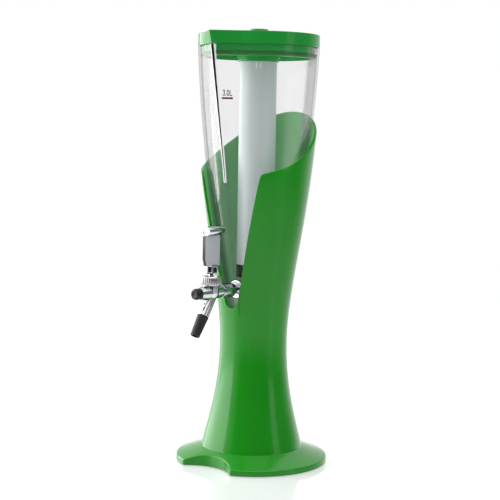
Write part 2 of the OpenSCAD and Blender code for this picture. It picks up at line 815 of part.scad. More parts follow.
// Plastic ring that the ball turns on
module ball_seat() {
    color("whitesmoke") translate([0, -lever_y, 0]) difference() {
        translate([0, 0, seat_ring_z]) cylinder(h = tower_top - seat_ring_z - 0.2, r = seat_ring_r);
        translate([0, 0, seat_ring_z - 1]) cylinder(h = 20, r = seat_ring_hole);
        translate([0, 0, ball_z]) sphere(r = ball_r + ball_gap);
    }
}

// ===========================================================================
// lever and plunger
// ===========================================================================

module lever_stem() {
    tip_drop = ball_up;
    color(chrome) translate([0, -lever_y, ball_z]) {
        sphere(r = ball_r);
        translate([0, 0, -tip_drop]) cylinder(h = tip_drop, r = stem_r);
        translate([0, 0, -tip_drop]) sphere(r = tip_r);
        cylinder(h = hub_z - ball_z + 7, r = 3.2);
    }
}

module lever_handle() {
    flat_x = hub_half;
    chamfer_y = 3;
    color(chrome) difference() {
        union() {
            // hub: a bowl that clears the bonnet ring at full tilt
            intersection() {
                translate([0, -lever_y, hub_z]) rotate_extrude() polygon([
                    [0, 0], [hub_neck_r, 0], [hub_r, (hub_r - hub_neck_r) * tan(pull)],
                    [hub_r, plate_z - hub_z + 1], [0, plate_z - hub_z + 1]]);
                translate([-flat_x, -lever_y - hub_r - 1, hub_z - 1])
                    cube([2 * flat_x, 2 * hub_r + 2, plate_z - hub_z + 3]);
            }
            // plate, with its lower front corner cut away
            translate([-plate_t / 2, 0, 0]) rotate([90, 0, 90]) linear_extrude(plate_t) polygon([
                [-lever_y - plate_w / 2 + chamfer_y, plate_z],
                [-lever_y - plate_w / 2, plate_z + 10],
                [-lever_y - plate_w / 2, plate_top],
                [-lever_y + plate_w / 2, plate_top],
                [-lever_y + plate_w / 2, plate_z]]);
        }
        // socket for the stem
        translate([0, -lever_y, hub_z - 1]) cylinder(h = 8.1, r = 3.25);
        // window in the hub's side
        translate([flat_x - window_d, -lever_y - window_w / 2, window_z])
            cube([window_d + 1, window_w, window_h]);
        // saddle for the grip
        translate([0, 0, grip_z]) rotate([90, 0, 0]) cylinder(h = 2 * lever_y, r = grip_r);
    }
}

// Grip across the lever's top: flat in front, rounded behind
module lever_grip() {
    soft = 3;
    color(chrome) translate([0, grip_y, grip_z]) rotate([90, 0, 0]) difference() {
        union() {
            translate([0, 0, -grip_l / 2 + soft]) cylinder(h = grip_l - soft - 0.6, r = grip_r);
            translate([0, 0, grip_l / 2 - 0.6]) cylinder(h = 0.6, r1 = grip_r, r2 = grip_r - 0.6);
            translate([0, 0, -grip_l / 2]) rotate_extrude() polygon(concat([[0, 0]],
                [for (a = [-90:15:0]) [grip_r - soft + soft * cos(a), soft + soft * sin(a)]], [[0, soft]]));
        }
        translate([0, 0, grip_l / 2 - 0.8]) cylinder(h = 1, r = grip_r - 1.6);
    }
}

// Dark plug in the hub's window
module hub_plug() {
    gap = 0.1;
    color(black) translate([hub_half - window_d, -lever_y - window_w / 2 + gap, window_z + gap])
        cube([window_d - 0.8, window_w - 2 * gap, window_h - 2 * gap]);
}

module plunger() {
    color("silver") {
        difference() {
            along_tap(plunger_back, plunger_front, plunger_r);
            // slot that the lever's tip works in
            translate([-slot_x / 2, -lever_y - slot_w / 2, tap_z - tip_r - 0.4])
                cube([slot_x, slot_w, plunger_r * 2 + 2]);
            // flat underneath that lets the drink past
            translate([-plunger_r - 1, -lever_y - slot_w / 2 - 3, tap_z - plunger_r - 1])
                cube([2 * plunger_r + 2, slot_w + 10, 2.2]);
        }
        along_tap(piston_y + piston_l - eps, plunger_back + eps, 2);
        difference() {
            along_tap(piston_y, piston_y + piston_l, piston_r);
            along_tap(piston_y + 1.2, piston_y + piston_l - 1.2, piston_r + 1);
        }
        along_tap(piston_y, piston_y + piston_l, piston_r - ring_bite - 0.05);
    }
}

module piston_seal() {
    color(black) difference() {
        along_tap(piston_y + 1.25, piston_y + piston_l - 1.25, seat_r - 0.02);
        along_tap(piston_y, piston_y + piston_l, piston_r - ring_bite);
    }
}

pedestal_shell();
bottom_cover();
ballast_plate();
cover_screws();
rubber_feet();
tank();
lid_cap();
lid_plug();
lid_seal();
lid_knob();
ice_tube();
ice_tube_cap();
ice_tube_seal();
tap_lock_nut();
tap_inner_seal();
tap_outer_seal();
tap_flange();
tap_shank();
tap_coupling_nut();
shank_washer();
tap_body();
tap_end_cap();
end_cap_seal();
nozzle_sleeve();
bonnet_ring();
ball_seat();
lever_stem();
lever_handle();
lever_grip();
hub_plug();
plunger();
piston_seal();
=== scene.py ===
"""A table-top drink tower, dressed: flared pedestal, clear tank, lid, ice tube and lever tap.

Lengths are in millimetres until MM turns them into metres. +Z is up and the tap points to -Y.
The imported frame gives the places: what is made here sits where the node it stands for sits.
"""
import math

import bmesh
import bpy
from mathutils import Matrix, Vector


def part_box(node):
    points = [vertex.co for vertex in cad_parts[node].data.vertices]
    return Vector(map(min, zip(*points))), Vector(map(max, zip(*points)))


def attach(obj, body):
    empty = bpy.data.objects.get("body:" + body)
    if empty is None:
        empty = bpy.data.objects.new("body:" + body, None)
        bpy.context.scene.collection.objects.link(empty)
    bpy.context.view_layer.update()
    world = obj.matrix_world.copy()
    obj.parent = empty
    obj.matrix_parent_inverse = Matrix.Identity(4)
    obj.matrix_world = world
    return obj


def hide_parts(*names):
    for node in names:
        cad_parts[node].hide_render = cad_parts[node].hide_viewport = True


bl_info = {
    "name": "Drink Tower",
    "version": (1, 0, 0),
    "blender": (4, 5, 0),
    "location": "View3D > Sidebar > Drink Tower",
    "description": "Builds a table-top drink tower with a clear tank, an ice tube and a lever tap",
    "category": "Add Mesh",
}

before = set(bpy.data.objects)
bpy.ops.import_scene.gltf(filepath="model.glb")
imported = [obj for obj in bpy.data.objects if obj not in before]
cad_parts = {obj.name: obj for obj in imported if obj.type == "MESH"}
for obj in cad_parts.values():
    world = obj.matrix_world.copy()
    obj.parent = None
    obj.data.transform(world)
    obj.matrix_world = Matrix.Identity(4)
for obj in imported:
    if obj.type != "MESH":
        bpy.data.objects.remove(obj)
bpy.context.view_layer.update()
MM = 0.001


def box_mm(node):
    """Lowest and highest corner of a node, in millimetres."""
    low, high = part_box(node)
    return low / MM, high / MM


# ---- driving places, taken from the frame ---------------------------------------------
FOOT_LOW, FOOT_HIGH = box_mm("pedestal_shell")
TANK_LOW, TANK_HIGH = box_mm("tank")
LID_LOW, LID_HIGH = box_mm("lid_cap")
KNOB_HIGH = box_mm("lid_knob")[1]
PLUG_LOW, PLUG_HIGH = box_mm("lid_plug")
SEAL_LOW, SEAL_HIGH = box_mm("lid_seal")
TUBE_HIGH = box_mm("ice_tube")[1]
ENDCAP_LOW, ENDCAP_HIGH = box_mm("ice_tube_cap")
FLANGE_LOW, FLANGE_HIGH = box_mm("tap_flange")
WASHER_LOW, WASHER_HIGH = box_mm("tap_outer_seal")
NUT_LOW, NUT_HIGH = box_mm("tap_coupling_nut")
BODY_HIGH = box_mm("tap_body")[1]
CAP_LOW, CAP_HIGH = box_mm("tap_end_cap")
RING_LOW, RING_HIGH = box_mm("bonnet_ring")
HANDLE_LOW = box_mm("lever_handle")[0]
GRIP_LOW, GRIP_HIGH = box_mm("lever_grip")

# ---- the pedestal's sizes --------------------------------------------------------------
FOOT_R = FOOT_HIGH.x
PAD_SHOW = FOOT_LOW.z
RIM_H = 8.0
RIM_TOP = PAD_SHOW + RIM_H
RIM_SOFT = 2.5
CREASE = (70.0, 21.0)
BITE_R = 55.0
BITE_REACH = 78.5
BITE_Y = BITE_REACH + BITE_R
BITE_SOFT = 3.0
COLLAR_Z = 488.0
WAIST = [CREASE, (66.0, 44.0), (45.5, 100.0), (46.9, 175.0)]
NECK = [(46.9, 175.0), (48.9, 257.0), (75.5, 341.0), (83.5, COLLAR_Z)]
LAPEL_Z = 401.0
LAPEL_R = 9.0
NOTCH_R = 11.5
NOTCH_Z = 229.0
NOTCH_LEAN = math.radians(13.1)
SHELF_R = 45.2
SHELF_HOLE_R = 22.0
SHELF_T = 5.0
LIP_R = 36.2
LIP_T = 2.5
LIP_H = 8.0
COLLAR_EDGE = [(-60.0, LAPEL_Z), (-14.0, LAPEL_Z + 11), (30.0, COLLAR_Z - 51), (84.5, COLLAR_Z)]

# ---- the tank's and lid's sizes --------------------------------------------------------
TANK_FOOT_R = 34.0
TANK_FLARE = 0.22
TANK_H = TANK_HIGH.z - TANK_LOW.z
TANK_RIM_R = TANK_HIGH.y
TANK_EASE = (TANK_FOOT_R + TANK_FLARE * TANK_H - TANK_RIM_R) / TANK_H ** 2
PROW_R = -TANK_LOW.y
PROW_LEAN = 0.182
PROW_SPREAD = 0.7
# Where the pointed corner's painted shade line starts, how wide it grows, and the painted highlight lines
# beside it:
CORNER_FOOT_Z = 388.0
CORNER_NARROW, CORNER_WIDE = 0.5, 2.35
PALE_LINE = 2.0
TANK_TOE = 3.0
LID_LEAN = 0.3
LID_GAP = 1.3
PLUG_Z = PLUG_LOW.z + 5.0
TUBE_R = 25.5
TUBE_T = 2.0
SOCKET_R = TUBE_R + 2.45
PLUG_CORE_R = 29.6

# ---- the tap's sizes ------------------------------------------------------------------
TAP_Z = (NUT_LOW.z + NUT_HIGH.z) / 2
MILKY_TOP = TAP_Z - 10.0
BARREL_END = 116.0
TAP_FLATS = 8
LEVER_Y = (RING_LOW.y + RING_HIGH.y) / 2
SPOUT_LEAN = math.radians(32.8)
SPOUT_Y = LEVER_Y + 5.0
SLEEVE_START = 36.5
SLEEVE_L = 29.5
TOWER_R = 11.2
BALL_Z = TAP_Z + 14.5
BALL_CUP_R = 8.4
PULL = math.radians(22.0)

# ---- where the camera stands ----------------------------------------------------------
VIEW_TURN = math.radians(39.0)
TO_CAMERA = Vector((math.sin(VIEW_TURN), -math.cos(VIEW_TURN), 0.0))
TO_RIGHT = Vector((math.cos(VIEW_TURN), math.sin(VIEW_TURN), 0.0))
UP = Vector((0.0, 0.0, 1.0))
WHITE = (1.0, 1.0, 1.0, 1.0)


# ---- what a user would change ---------------------------------------------------------

def paint(name, default, description):
    """A colour property in scene linear red, green and blue."""
    return bpy.props.FloatVectorProperty(
        name=name, description=description, subtype="COLOR", size=3, min=0.0, max=1.0, default=default)


def length(name, default, description, low=0.0, high=1.0):
    """A length property in metres."""
    return bpy.props.FloatProperty(
        name=name, description=description, unit="LENGTH", min=low, max=high, default=default)


class TowerSizes(bpy.types.PropertyGroup):
    """Sizes of the tower's dressing."""
    shell_wall: length("Shell wall", 3.5 * MM, "Wall of the pedestal and its collar")
    shell_edge: length("Shell edge", 1.1 * MM, "Rounding of the collar's cut edge")
    tank_wall: length("Tank wall", 3.0 * MM, "Wall of the clear tank")
    lid_wall: length("Lid wall", 3.0 * MM, "Wall of the lid's cap")
    lid_edge: length("Lid edge", 1.2 * MM, "Rounding of the lid's upper edge")
    metal_edge: length("Metal edge", 0.5 * MM, "Rounding of the tap's edges")
    plate_edge: length("Plate edge", 1.1 * MM, "Rounding of the lever plate's upright edges")
    mark_z: length("Level mark", 501.5 * MM, "Height of the level mark's line above the table")
    camera_back: length("Camera distance", 1.82, "Distance of the camera from the axis", 0.5, 10.0)
    camera_up: length("Camera height", 0.463, "Height of the camera above the table", 0.0, 5.0)


class TowerColours(bpy.types.PropertyGroup):
    """Colours of the tower's finishes."""
    shell: paint("Shell", (0.012, 0.27, 0.01), "Moulded green of the pedestal")
    lid: paint("Lid", (0.015, 0.285, 0.038), "Moulded green of the lid")
    frost: paint("Ice tube", (0.5, 0.56, 0.57), "Frosted plastic of the ice tube")
    chrome: paint("Chrome", (0.80, 0.82, 0.84), "Bright plating of the tap")
    satin: paint("Satin ring", (0.60, 0.57, 0.57), "Knurled ring under the lever")
    black: paint("Black plastic", (0.012, 0.012, 0.013), "End caps and the bottom cover")
    rubber: paint("Rubber", (0.018, 0.018, 0.019), "Nozzle sleeve, seals and pads")
    mark: paint("Mark line", (0.10, 0.012, 0.025), "Line under the level mark")


# ---- modelling helpers ----------------------------------------------------------------

def clear_selection():
    """Back to object mode with nothing selected."""
    if bpy.context.mode != "OBJECT":
        bpy.ops.object.mode_set(mode="OBJECT")
    bpy.ops.object.select_all(action="DESELECT")


def make_active(piece):
    """Selects one piece alone."""
    clear_selection()
    piece.select_set(True)
    bpy.context.view_layer.objects.active = piece


def name_piece(name):
    """Names the object that was just added."""
    piece = bpy.context.object
    piece.name = name
    piece.data.name = name
    return piece


def edit_all(piece):
    """Selects one piece alone and opens it in edit mode with all of it selected."""
    make_active(piece)
    bpy.ops.object.mode_set(mode="EDIT")
    bpy.ops.mesh.select_all(action="SELECT")


def tidy_mesh(piece, weld=0.004 * MM):
    """Merges doubles and turns all faces outwards, and leaves edit mode."""
    edit_all(piece)
    bpy.ops.mesh.remove_doubles(threshold=weld)
    bpy.ops.mesh.normals_make_consistent(inside=False)
    clear_selection()


def outward(vector, place):
    """How far a vector points away from the upright axis, at a place."""
    return vector.x * place.x + vector.y * place.y


def face_outwards(piece):
    """Turns an open shell round where its faces point to the upright axis."""
    if sum(face.area * outward(face.normal, face.center) for face in piece.data.polygons) < 0:
        edit_all(piece)
        bpy.ops.mesh.flip_normals()
        clear_selection()


def draw_outline(name, points):
    """A line of points, drawn from one to the next, left open in edit mode."""
    clear_selection()
    bpy.ops.mesh.primitive_plane_add(size=MM)
    piece = name_piece(name)
    bpy.ops.object.mode_set(mode="EDIT")
    bpy.ops.mesh.merge(type="CENTER")
    bpy.ops.transform.translate(value=points[0])
    for before, after in zip(points, points[1:]):
        bpy.ops.mesh.extrude_region_move(TRANSFORM_OT_translate={"value": after - before})
    return piece


def turned(name, outline, base=(0, 0, 0), axis=(0, 0, 1), steps=64):
    """A turned piece. The outline holds pairs of radius and distance along the axis, in mm."""
    base = Vector(base) * MM
    axis = Vector(axis).normalized()
    side = axis.orthogonal().normalized()
    points = [base + side * radius * MM + axis * along * MM for radius, along in outline]
    piece = draw_outline(name, points)
    bpy.ops.mesh.select_all(action="SELECT")
    bpy.ops.mesh.spin(steps=steps, angle=math.tau, center=base, axis=axis)
    tidy_mesh(piece)
    return piece


def along_tap(name, outline, steps=64):
    """A piece turned round the tap's axis, its distances measured forward from the tower's axis."""
    return turned(name, outline, base=(0, 0, TAP_Z), axis=(0, -1, 0), steps=steps)


def loft(name, rings, fill_first=False, fill_last=False):
    """A circle is laid on the first ring, then extruded and laid on each ring after it."""
    count = len(rings[0])
    clear_selection()
    bpy.ops.mesh.primitive_circle_add(vertices=count, radius=1.0, fill_type="NOTHING")
    piece = name_piece(name)
    bpy.ops.object.mode_set(mode="EDIT")
    mesh = bmesh.from_edit_mesh(piece.data)
    mesh.verts.ensure_lookup_table()
    for vertex, place in zip(mesh.verts, rings[0]):
        vertex.co = place
    order = {tuple(vertex.co): i for i, vertex in enumerate(mesh.verts)}
    if fill_first:
        bpy.ops.mesh.edge_face_add()
        bpy.ops.mesh.select_mode(type="EDGE")
    for ring in rings[1:]:
        bpy.ops.mesh.extrude_edges_move()
        mesh = bmesh.from_edit_mesh(piece.data)
        moved = [vertex for vertex in mesh.verts if vertex.select]
        places = [order[tuple(vertex.co)] for vertex in moved]
        for vertex, place in zip(moved, places):
            vertex.co = ring[place]
        order = {tuple(vertex.co): place for vertex, place in zip(moved, places)}
        bmesh.update_edit_mesh(piece.data)
    if fill_last:
        bpy.ops.mesh.edge_face_add()
    bpy.ops.mesh.select_mode(type="VERT")
    tidy_mesh(piece)
    return piece


def add_modifier(piece, kind, **settings):
    """Adds a modifier with these settings and applies it."""
    make_active(piece)
    modifier = piece.modifiers.new(kind.title(), kind)
    for key, value in settings.items():
        setattr(modifier, key, value)
    bpy.ops.object.modifier_apply(modifier=modifier.name)
    return piece


def bevel(piece, width, segments=3, angle=35.0):
    """Rounds the edges that are sharper than the angle."""
    return add_modifier(piece, "BEVEL", width=width, segments=segments, limit_method="ANGLE",
                        angle_limit=math.radians(angle), use_clamp_overlap=True)


def thicken(piece, wall):
    """Gives an open shell its wall, inwards."""
    return add_modifier(piece, "SOLIDIFY", thickness=wall, offset=-1.0, use_even_offset=True,
                        use_rim=True)


def combine(piece, other, operation):
    """Cuts or adds another piece with a boolean, and takes the other away."""
    add_modifier(piece, "BOOLEAN", object=other, operation=operation, solver="EXACT")
    make_active(other)
    bpy.ops.object.delete()
    return piece


def join(first, *others):
    """Several meshes made into one piece."""
    make_active(first)
    for other in others:
        other.select_set(True)
    bpy.ops.object.join()
    return first


def trim_flat(piece, point, normal):
    """Cuts the piece off at a plane and closes the cut."""
    edit_all(piece)
    bpy.ops.mesh.bisect(plane_co=point, plane_no=normal, use_fill=True, clear_outer=True)
    clear_selection()


def trim_tap_flats(piece, reach):
    """Cuts eight flats round the tap's axis, at a distance from it in mm."""
    for i in range(TAP_FLATS):
        turn = math.tau * i / TAP_FLATS
        normal = Vector((math.cos(turn), 0.0, math.sin(turn)))
        trim_flat(piece, Vector((0, 0, TAP_Z * MM)) + normal * reach * MM, normal)


def block(name, low, high):
    """A box between two corners in mm."""
    low, high = Vector(low) * MM, Vector(high) * MM
    clear_selection()
    bpy.ops.mesh.primitive_cube_add(size=1.0)
    piece = name_piece(name)
    bpy.ops.object.mode_set(mode="EDIT")
    bpy.ops.transform.resize(value=high - low)
    bpy.ops.transform.translate(value=(low + high) / 2)
    clear_selection()
    return piece


def add_finishes(piece, *finishes):
    """Gives a piece one material slot for each finish."""
    for finish in finishes:
        piece.data.materials.append(FINISHES[finish])


def dress(piece, body, slot, finish, *nodes, smooth=32.0):
    """Smooths a finished piece, gives it its finish if it has none, and seats it on its body."""
    make_active(piece)
    bpy.ops.object.shade_smooth_by_angle(angle=math.radians(smooth))
    if not piece.data.materials:
        add_finishes(piece, finish)
    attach(piece, body)
    if nodes:
        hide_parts(*nodes)
    clear_selection()
    return piece


def cubic(points, t):
    """A point on a cubic curve through its four controls."""
    a, b, c, d = (Vector(point) for point in points)
    s = 1.0 - t
    return a * s ** 3 + b * 3 * t * s ** 2 + c * 3 * t ** 2 * s + d * t ** 3


def run_of(points, count):
    """Points along a cubic curve, from its first control to its last."""
    return [cubic(points, i / count) for i in range(count + 1)]


def arc(centre, radius, start, end, count):
    """Points of an arc as pairs, with angles in degrees."""
    angles = [math.radians(start + (end - start) * i / count) for i in range(count + 1)]
    return [(centre[0] + radius * math.cos(a), centre[1] + radius * math.sin(a)) for a in angles]


def between(low, high, share):
    """The value at a share of the way from low to high."""
    return low + (high - low) * share


def look_up(table, key):
    """The second value of a table of pairs at a first value, by straight lines between them."""
    for before, after in zip(table, table[1:]):
        if key <= after[0]:
            share = (key - before[0]) / (after[0] - before[0])
            return between(before[1], after[1], max(share, 0.0))
    return table[-1][1]


def polar(angle, radius, z):
    """A point in metres, its angle measured from the front (-Y) toward +X."""
    return Vector((radius * math.sin(angle), -radius * math.cos(angle), z)) * MM


# ---- materials ------------------------------------------------------------------------

class Tree:
    """A node tree, and short ways to add nodes and feed them."""

    def __init__(self, tree):
        self.tree = tree

    def add(self, kind, **values):
        """Adds a node and sets its sockets, or its own settings where there is no such socket."""
        node = self.tree.nodes.new(kind)
        for key, value in values.items():
            if key in node.inputs:
                self.feed(value, node.inputs[key])
            else:
                setattr(node, key, value)
        return node

    def feed(self, value, socket):
        """Links an output to a socket, or sets the socket's own value."""
        if isinstance(value, bpy.types.NodeSocket):
            self.tree.links.new(value, socket)
        else:
            socket.default_value = value

    def spread(self, value, low, high, start=0.3, end=0.7):
        """Maps a value from start..end to low..high."""
        node = self.add("ShaderNodeMapRange", Value=value)
        for key, number in (("From Min", start), ("From Max", end), ("To Min", low), ("To Max", high)):
            node.inputs[key].default_value = number
        return node.outputs["Result"]

    def blend(self, share, one, two):
        """A colour mixed from two by a share."""
        node = self.add("ShaderNodeMix", data_type="RGBA")
        for key, value in (("Factor", share), ("A", one), ("B", two)):
            self.feed(value, node.inputs[key])
        return node.outputs["Result"]

    def mix(self, share, one, two):
        """A shader mixed from two by a share."""
        node = self.add("ShaderNodeMixShader")
        for value, socket in zip((share, one, two), node.inputs):
            self.feed(value, socket)
        return node.outputs[0]

    def either(self, one, two):
        """1 where one of two kinds of ray is 1."""
        node = self.add("ShaderNodeMath", operation="MAXIMUM")
        self.feed(one, node.inputs[0])
        self.feed(two, node.inputs[1])
        return node.outputs[0]


class Nodes(Tree):
    """A new node material with a shader, and the patterns and bumps that feed it."""

    def __init__(self, name):
        self.material = bpy.data.materials.new(name)
        self.material.use_nodes = True
        super().__init__(self.material.node_tree)
        self.shader = self.tree.nodes["Principled BSDF"]
        self.output = self.tree.nodes["Material Output"]
        self.where = self.tree.nodes.new("ShaderNodeTexCoord").outputs["Object"]

    def noise(self, scale, detail=2.0, stretch=None):
        """Noise on Object coordinates, which may be scaled along each axis."""
        place = self.where
        if stretch:
            place = self.add("ShaderNodeMapping", Vector=place, Scale=stretch).outputs["Vector"]
        return self.add("ShaderNodeTexNoise", Vector=place, Scale=scale, Detail=detail).outputs["Fac"]

    def drift(self, value, one, two):
        """A colour that drifts between two with a noise."""
        return self.blend(self.spread(value, 0.0, 1.0), one, two)

    def shades(self, value, colour, dark, light):
        """A colour that a noise makes darker and lighter, by two shares."""
        return self.drift(value, tone(colour, dark), tone(colour, light))

    def bump(self, height, strength, distance):
        """A normal from a height."""
        node = self.add("ShaderNodeBump", Height=height, Strength=strength, Distance=distance)
        return node.outputs["Normal"]

    def set(self, **values):
        """Sets or feeds the shader's sockets, whose names are written with underscores."""
        for key, value in values.items():
            self.feed(value, self.shader.inputs[key.replace("_", " ")])
        return self.material


def tone(colour, share):
    """A colour with four values, made lighter or darker by a share."""
    return (*[min(1.0, value * share) for value in colour], 1.0)


def glossy_plastic(name, colour, rough=0.13, shine=0.44, glow=(0.0, 0.0, 0.0)):
    """Moulded, polished plastic: slightly cloudy and wavy, with an even painted glow where one is given."""
    n = Nodes(name)
    return n.set(Base_Color=n.shades(n.noise(14.0, 3.0), colour, 0.94, 1.06),
                 Roughness=n.spread(n.noise(35.0, 4.0), rough - 0.02, rough + 0.03),
                 Normal=n.bump(n.noise(60.0, 1.0), 0.05, 0.0006), Specular_IOR_Level=shine, IOR=1.49,
                 Emission_Color=(*glow, 1.0), Emission_Strength=1.0)


def black_plastic(name, colour, rough=0.38):
    """Black moulding with a fine spark-eroded grain."""
    n = Nodes(name)
    return n.set(Base_Color=n.shades(n.noise(90.0, 3.0), colour, 0.8, 1.3),
                 Roughness=n.spread(n.noise(400.0, 3.0), rough - 0.06, rough + 0.08),
                 Normal=n.bump(n.noise(2600.0), 0.12, 0.0001), Specular_IOR_Level=0.35)


def rubber(name, colour, rough=0.5):
    """Soft rubber with handling marks that make it paler in places."""
    n = Nodes(name)
    worn = n.spread(n.noise(120.0, 5.0), 0.0, 1.0, 0.45, 0.75)
    return n.set(Base_Color=n.blend(worn, tone(colour, 0.6), tone(colour, 1.5)),
                 Roughness=n.spread(n.noise(300.0, 3.0), rough - 0.12, rough + 0.1),
                 Normal=n.bump(n.noise(1500.0, 3.0), 0.2, 0.0001), Specular_IOR_Level=0.35)


def plated(name, colour, rough=0.05):
    """Bright plating over a turned body: mirror-like, with faint polishing lines and a soft haze."""
    n = Nodes(name)
    lines = n.noise(900.0, stretch=(1.0, 1.0, 0.12))
    haze = n.noise(45.0, 4.0)
    return n.set(Base_Color=n.shades(haze, colour, 0.96, 1.03), Metallic=1.0,
                 Roughness=n.spread(haze, rough - 0.02, rough + 0.04),
                 Normal=n.bump(lines, 0.03, 0.00008), Specular_Tint=(0.06, 0.06, 0.07, 1.0))


def brushed(name, colour, rough=0.3):
    """Satin metal with fine brushed lines."""
    n = Nodes(name)
    lines = n.noise(1400.0, 3.0, stretch=(1.0, 1.0, 0.08))
    return n.set(Base_Color=n.shades(lines, colour, 0.86, 1.1), Metallic=1.0,
                 Roughness=n.spread(lines, rough - 0.08, rough + 0.1),
                 Normal=n.bump(lines, 0.15, 0.0001))


def cast_iron(name):
    """Coated cast plate with a coarse skin."""
    n = Nodes(name)
    skin = n.noise(260.0, 6.0)
    return n.set(Base_Color=n.drift(skin, (0.03, 0.03, 0.032, 1.0), (0.075, 0.073, 0.072, 1.0)),
                 Roughness=n.spread(skin, 0.5, 0.8), Normal=n.bump(skin, 0.6, 0.0006))


def silicone(name, colour):
    """Soft, slightly cloudy silicone."""
    n = Nodes(name)
    cloud = n.noise(70.0, 3.0)
    return n.set(Base_Color=n.shades(cloud, colour, 0.9, 1.1),
                 Roughness=n.spread(cloud, 0.38, 0.5), Normal=n.bump(cloud, 0.05, 0.0005))


def frosted(name, colour):
    """Frosted plastic of the ice tube: pale, slightly streaky, with a faint even painted glow from its
    emission.
    """
    n = Nodes(name)
    grain = n.noise(900.0, 3.0)
    return n.set(Base_Color=n.shades(n.noise(40.0, 4.0, stretch=(1.0, 1.0, 0.05)), colour, 0.95, 1.05),
                 Roughness=n.spread(grain, 0.3, 0.42), Normal=n.bump(grain, 0.08, 0.0002),
                 Emission_Color=(0.93, 1.0, 1.0, 1.0), Emission_Strength=0.12)


def clear_wall(name, tint=0.975, gloss=0.42, haze=0.008):
    """Polished clear plastic as a thin wall: what is behind shows, and the edges catch the room."""
    n = Nodes(name)
    ripple = n.bump(n.noise(30.0, stretch=(1.0, 1.0, 0.3)), 0.04, 0.001)
    edge = n.add("ShaderNodeLayerWeight", Blend=0.16, Normal=ripple)
    flow = n.shades(n.noise(9.0), (tint, tint, tint), 0.992, 1.004)
    through = n.add("ShaderNodeBsdfTransparent", Color=flow)
    shine = n.add("ShaderNodeBsdfGlossy", Color=tone((gloss, gloss, gloss), 1.0), Roughness=0.03,
                  Normal=ripple)
    veil = n.add("ShaderNodeBsdfDiffuse", Color=(0.85, 0.87, 0.87, 1.0))
    milky = n.mix(haze, through.outputs[0], veil.outputs[0])
    catch = n.spread(edge.outputs["Fresnel"], 0.01, 0.4, 0.0, 1.0)
    n.feed(n.mix(catch, milky, shine.outputs[0]), n.output.inputs["Surface"])
    return n.material


def streaked(name, dark, light, scale=30.0, stretch=(1.0, 1.0, 0.1), **sockets):
    """A smooth finish whose colour drifts between two, with the shader's other sockets as given."""
    n = Nodes(name)
    streak = n.noise(scale, 3.0, stretch=stretch)
    return n.set(Base_Color=n.drift(streak, (*dark, 1.0), (*light, 1.0)), **sockets)


def printed(name, colour):
    """Screen-printed ink with a slightly uneven film."""
    n = Nodes(name)
    film = n.noise(700.0, 4.0)
    return n.set(Base_Color=n.shades(film, colour, 0.85, 1.25), Roughness=n.spread(film, 0.35, 0.5))


FINISHES = {}


def make_finishes(colours):
    """All the tower's materials, by name."""
    FINISHES.update(
        shell=glossy_plastic("shell_green", colours.shell),
        # painted highlight: the collar's cut edge is a paler green that glows, a highlight painted along
        # its rim
        cut_edge=glossy_plastic("shell_cut_edge", (0.2, 0.6, 0.18), 0.3, glow=(0.14, 0.32, 0.12)),
        # painted light: the shell's inside glows a little to lift the shade inside the collar
        inside=glossy_plastic("shell_inside", colours.shell, 0.2, glow=(0.07, 0.15, 0.085)),
        lid=glossy_plastic("lid_green", colours.lid, shine=0.3),
        # painted light: the plug glows a little to lift the shade it sits in under the lid
        plug=glossy_plastic("plug_green", colours.lid, 0.2, glow=(0.004, 0.07, 0.014)),
        clear=clear_wall("tank_clear"),
        # painted shade: the dark that the sharp corner of clear plastic shows by refraction, painted on its
        # edge, with a painted highlight line beside it
        corner_dark=streaked("tank_corner_dark", (0.004, 0.004, 0.005), (0.009, 0.009, 0.01),
                             Roughness=0.6, Specular_IOR_Level=0.05),
        corner_bright=streaked("tank_corner_bright", (0.9, 0.91, 0.91), (0.97, 0.97, 0.97),
                               Roughness=0.2, Alpha=0.8),
        # painted light: the thick lower end is painted pale and milky for the light that the clear plastic
        # gathers there
        tank_base=streaked("tank_base", (0.5, 0.52, 0.51), (0.66, 0.68, 0.67), 25.0, None,
                           Roughness=0.2, Alpha=0.6),
        frost=frosted("tube_frost", colours.frost),
        chrome=plated("tap_chrome", colours.chrome),
        satin=brushed("ring_satin", colours.satin, 0.28),
        plate=glossy_plastic("plate_grey", (0.5, 0.53, 0.57), 0.3),
        # painted reflection: the plate's front edge is painted near black for the dark reflection it shows
        plate_edge=glossy_plastic("plate_dark_edge", (0.02, 0.02, 0.022), 0.25),
        steel=brushed("turned_steel", (0.55, 0.55, 0.56), 0.25),
        black=black_plastic("black_moulding", colours.black),
        cap_black=black_plastic("cap_black", colours.black, 0.3),
        rubber=rubber("soft_rubber", colours.rubber),
        green_seal=silicone("green_silicone", (0.02, 0.16, 0.03)),
        rib=frosted("tube_rib", (0.86, 0.88, 0.88)),
        seat=silicone("seat_plastic", (0.74, 0.76, 0.74)),
        iron=cast_iron("ballast_iron"),
        ink=printed("mark_ink", (0.035, 0.03, 0.035)),
        ink_line=printed("mark_line", colours.mark),
    )


# ---- pedestal -------------------------------------------------------------------------

SIDE = [(point.y, point.x) for point in run_of(WAIST, 60) + run_of(NECK, 60)[1:]]
COLLAR_SLOPE = [(point.x, point.y) for point in run_of(COLLAR_EDGE, 40)]
LAPEL_CORNER_Z = LAPEL_Z + 2.6 - LAPEL_R
NOTCH_SIDE_X = NOTCH_R * math.cos(NOTCH_LEAN)
NOTCH_SIDE_Z = NOTCH_Z - NOTCH_R * math.sin(NOTCH_LEAN)


def side_radius(z):
    """Outer radius of the column and collar at a height."""
    return look_up(SIDE, z)


def leaning_edge(z):
    """Half the front opening's width on its straight, leaning edges."""
    return NOTCH_SIDE_X + math.tan(NOTCH_LEAN) * (z - NOTCH_SIDE_Z)


LAPEL_CORNER_X = leaning_edge(LAPEL_CORNER_Z) + LAPEL_R / math.cos(NOTCH_LEAN)


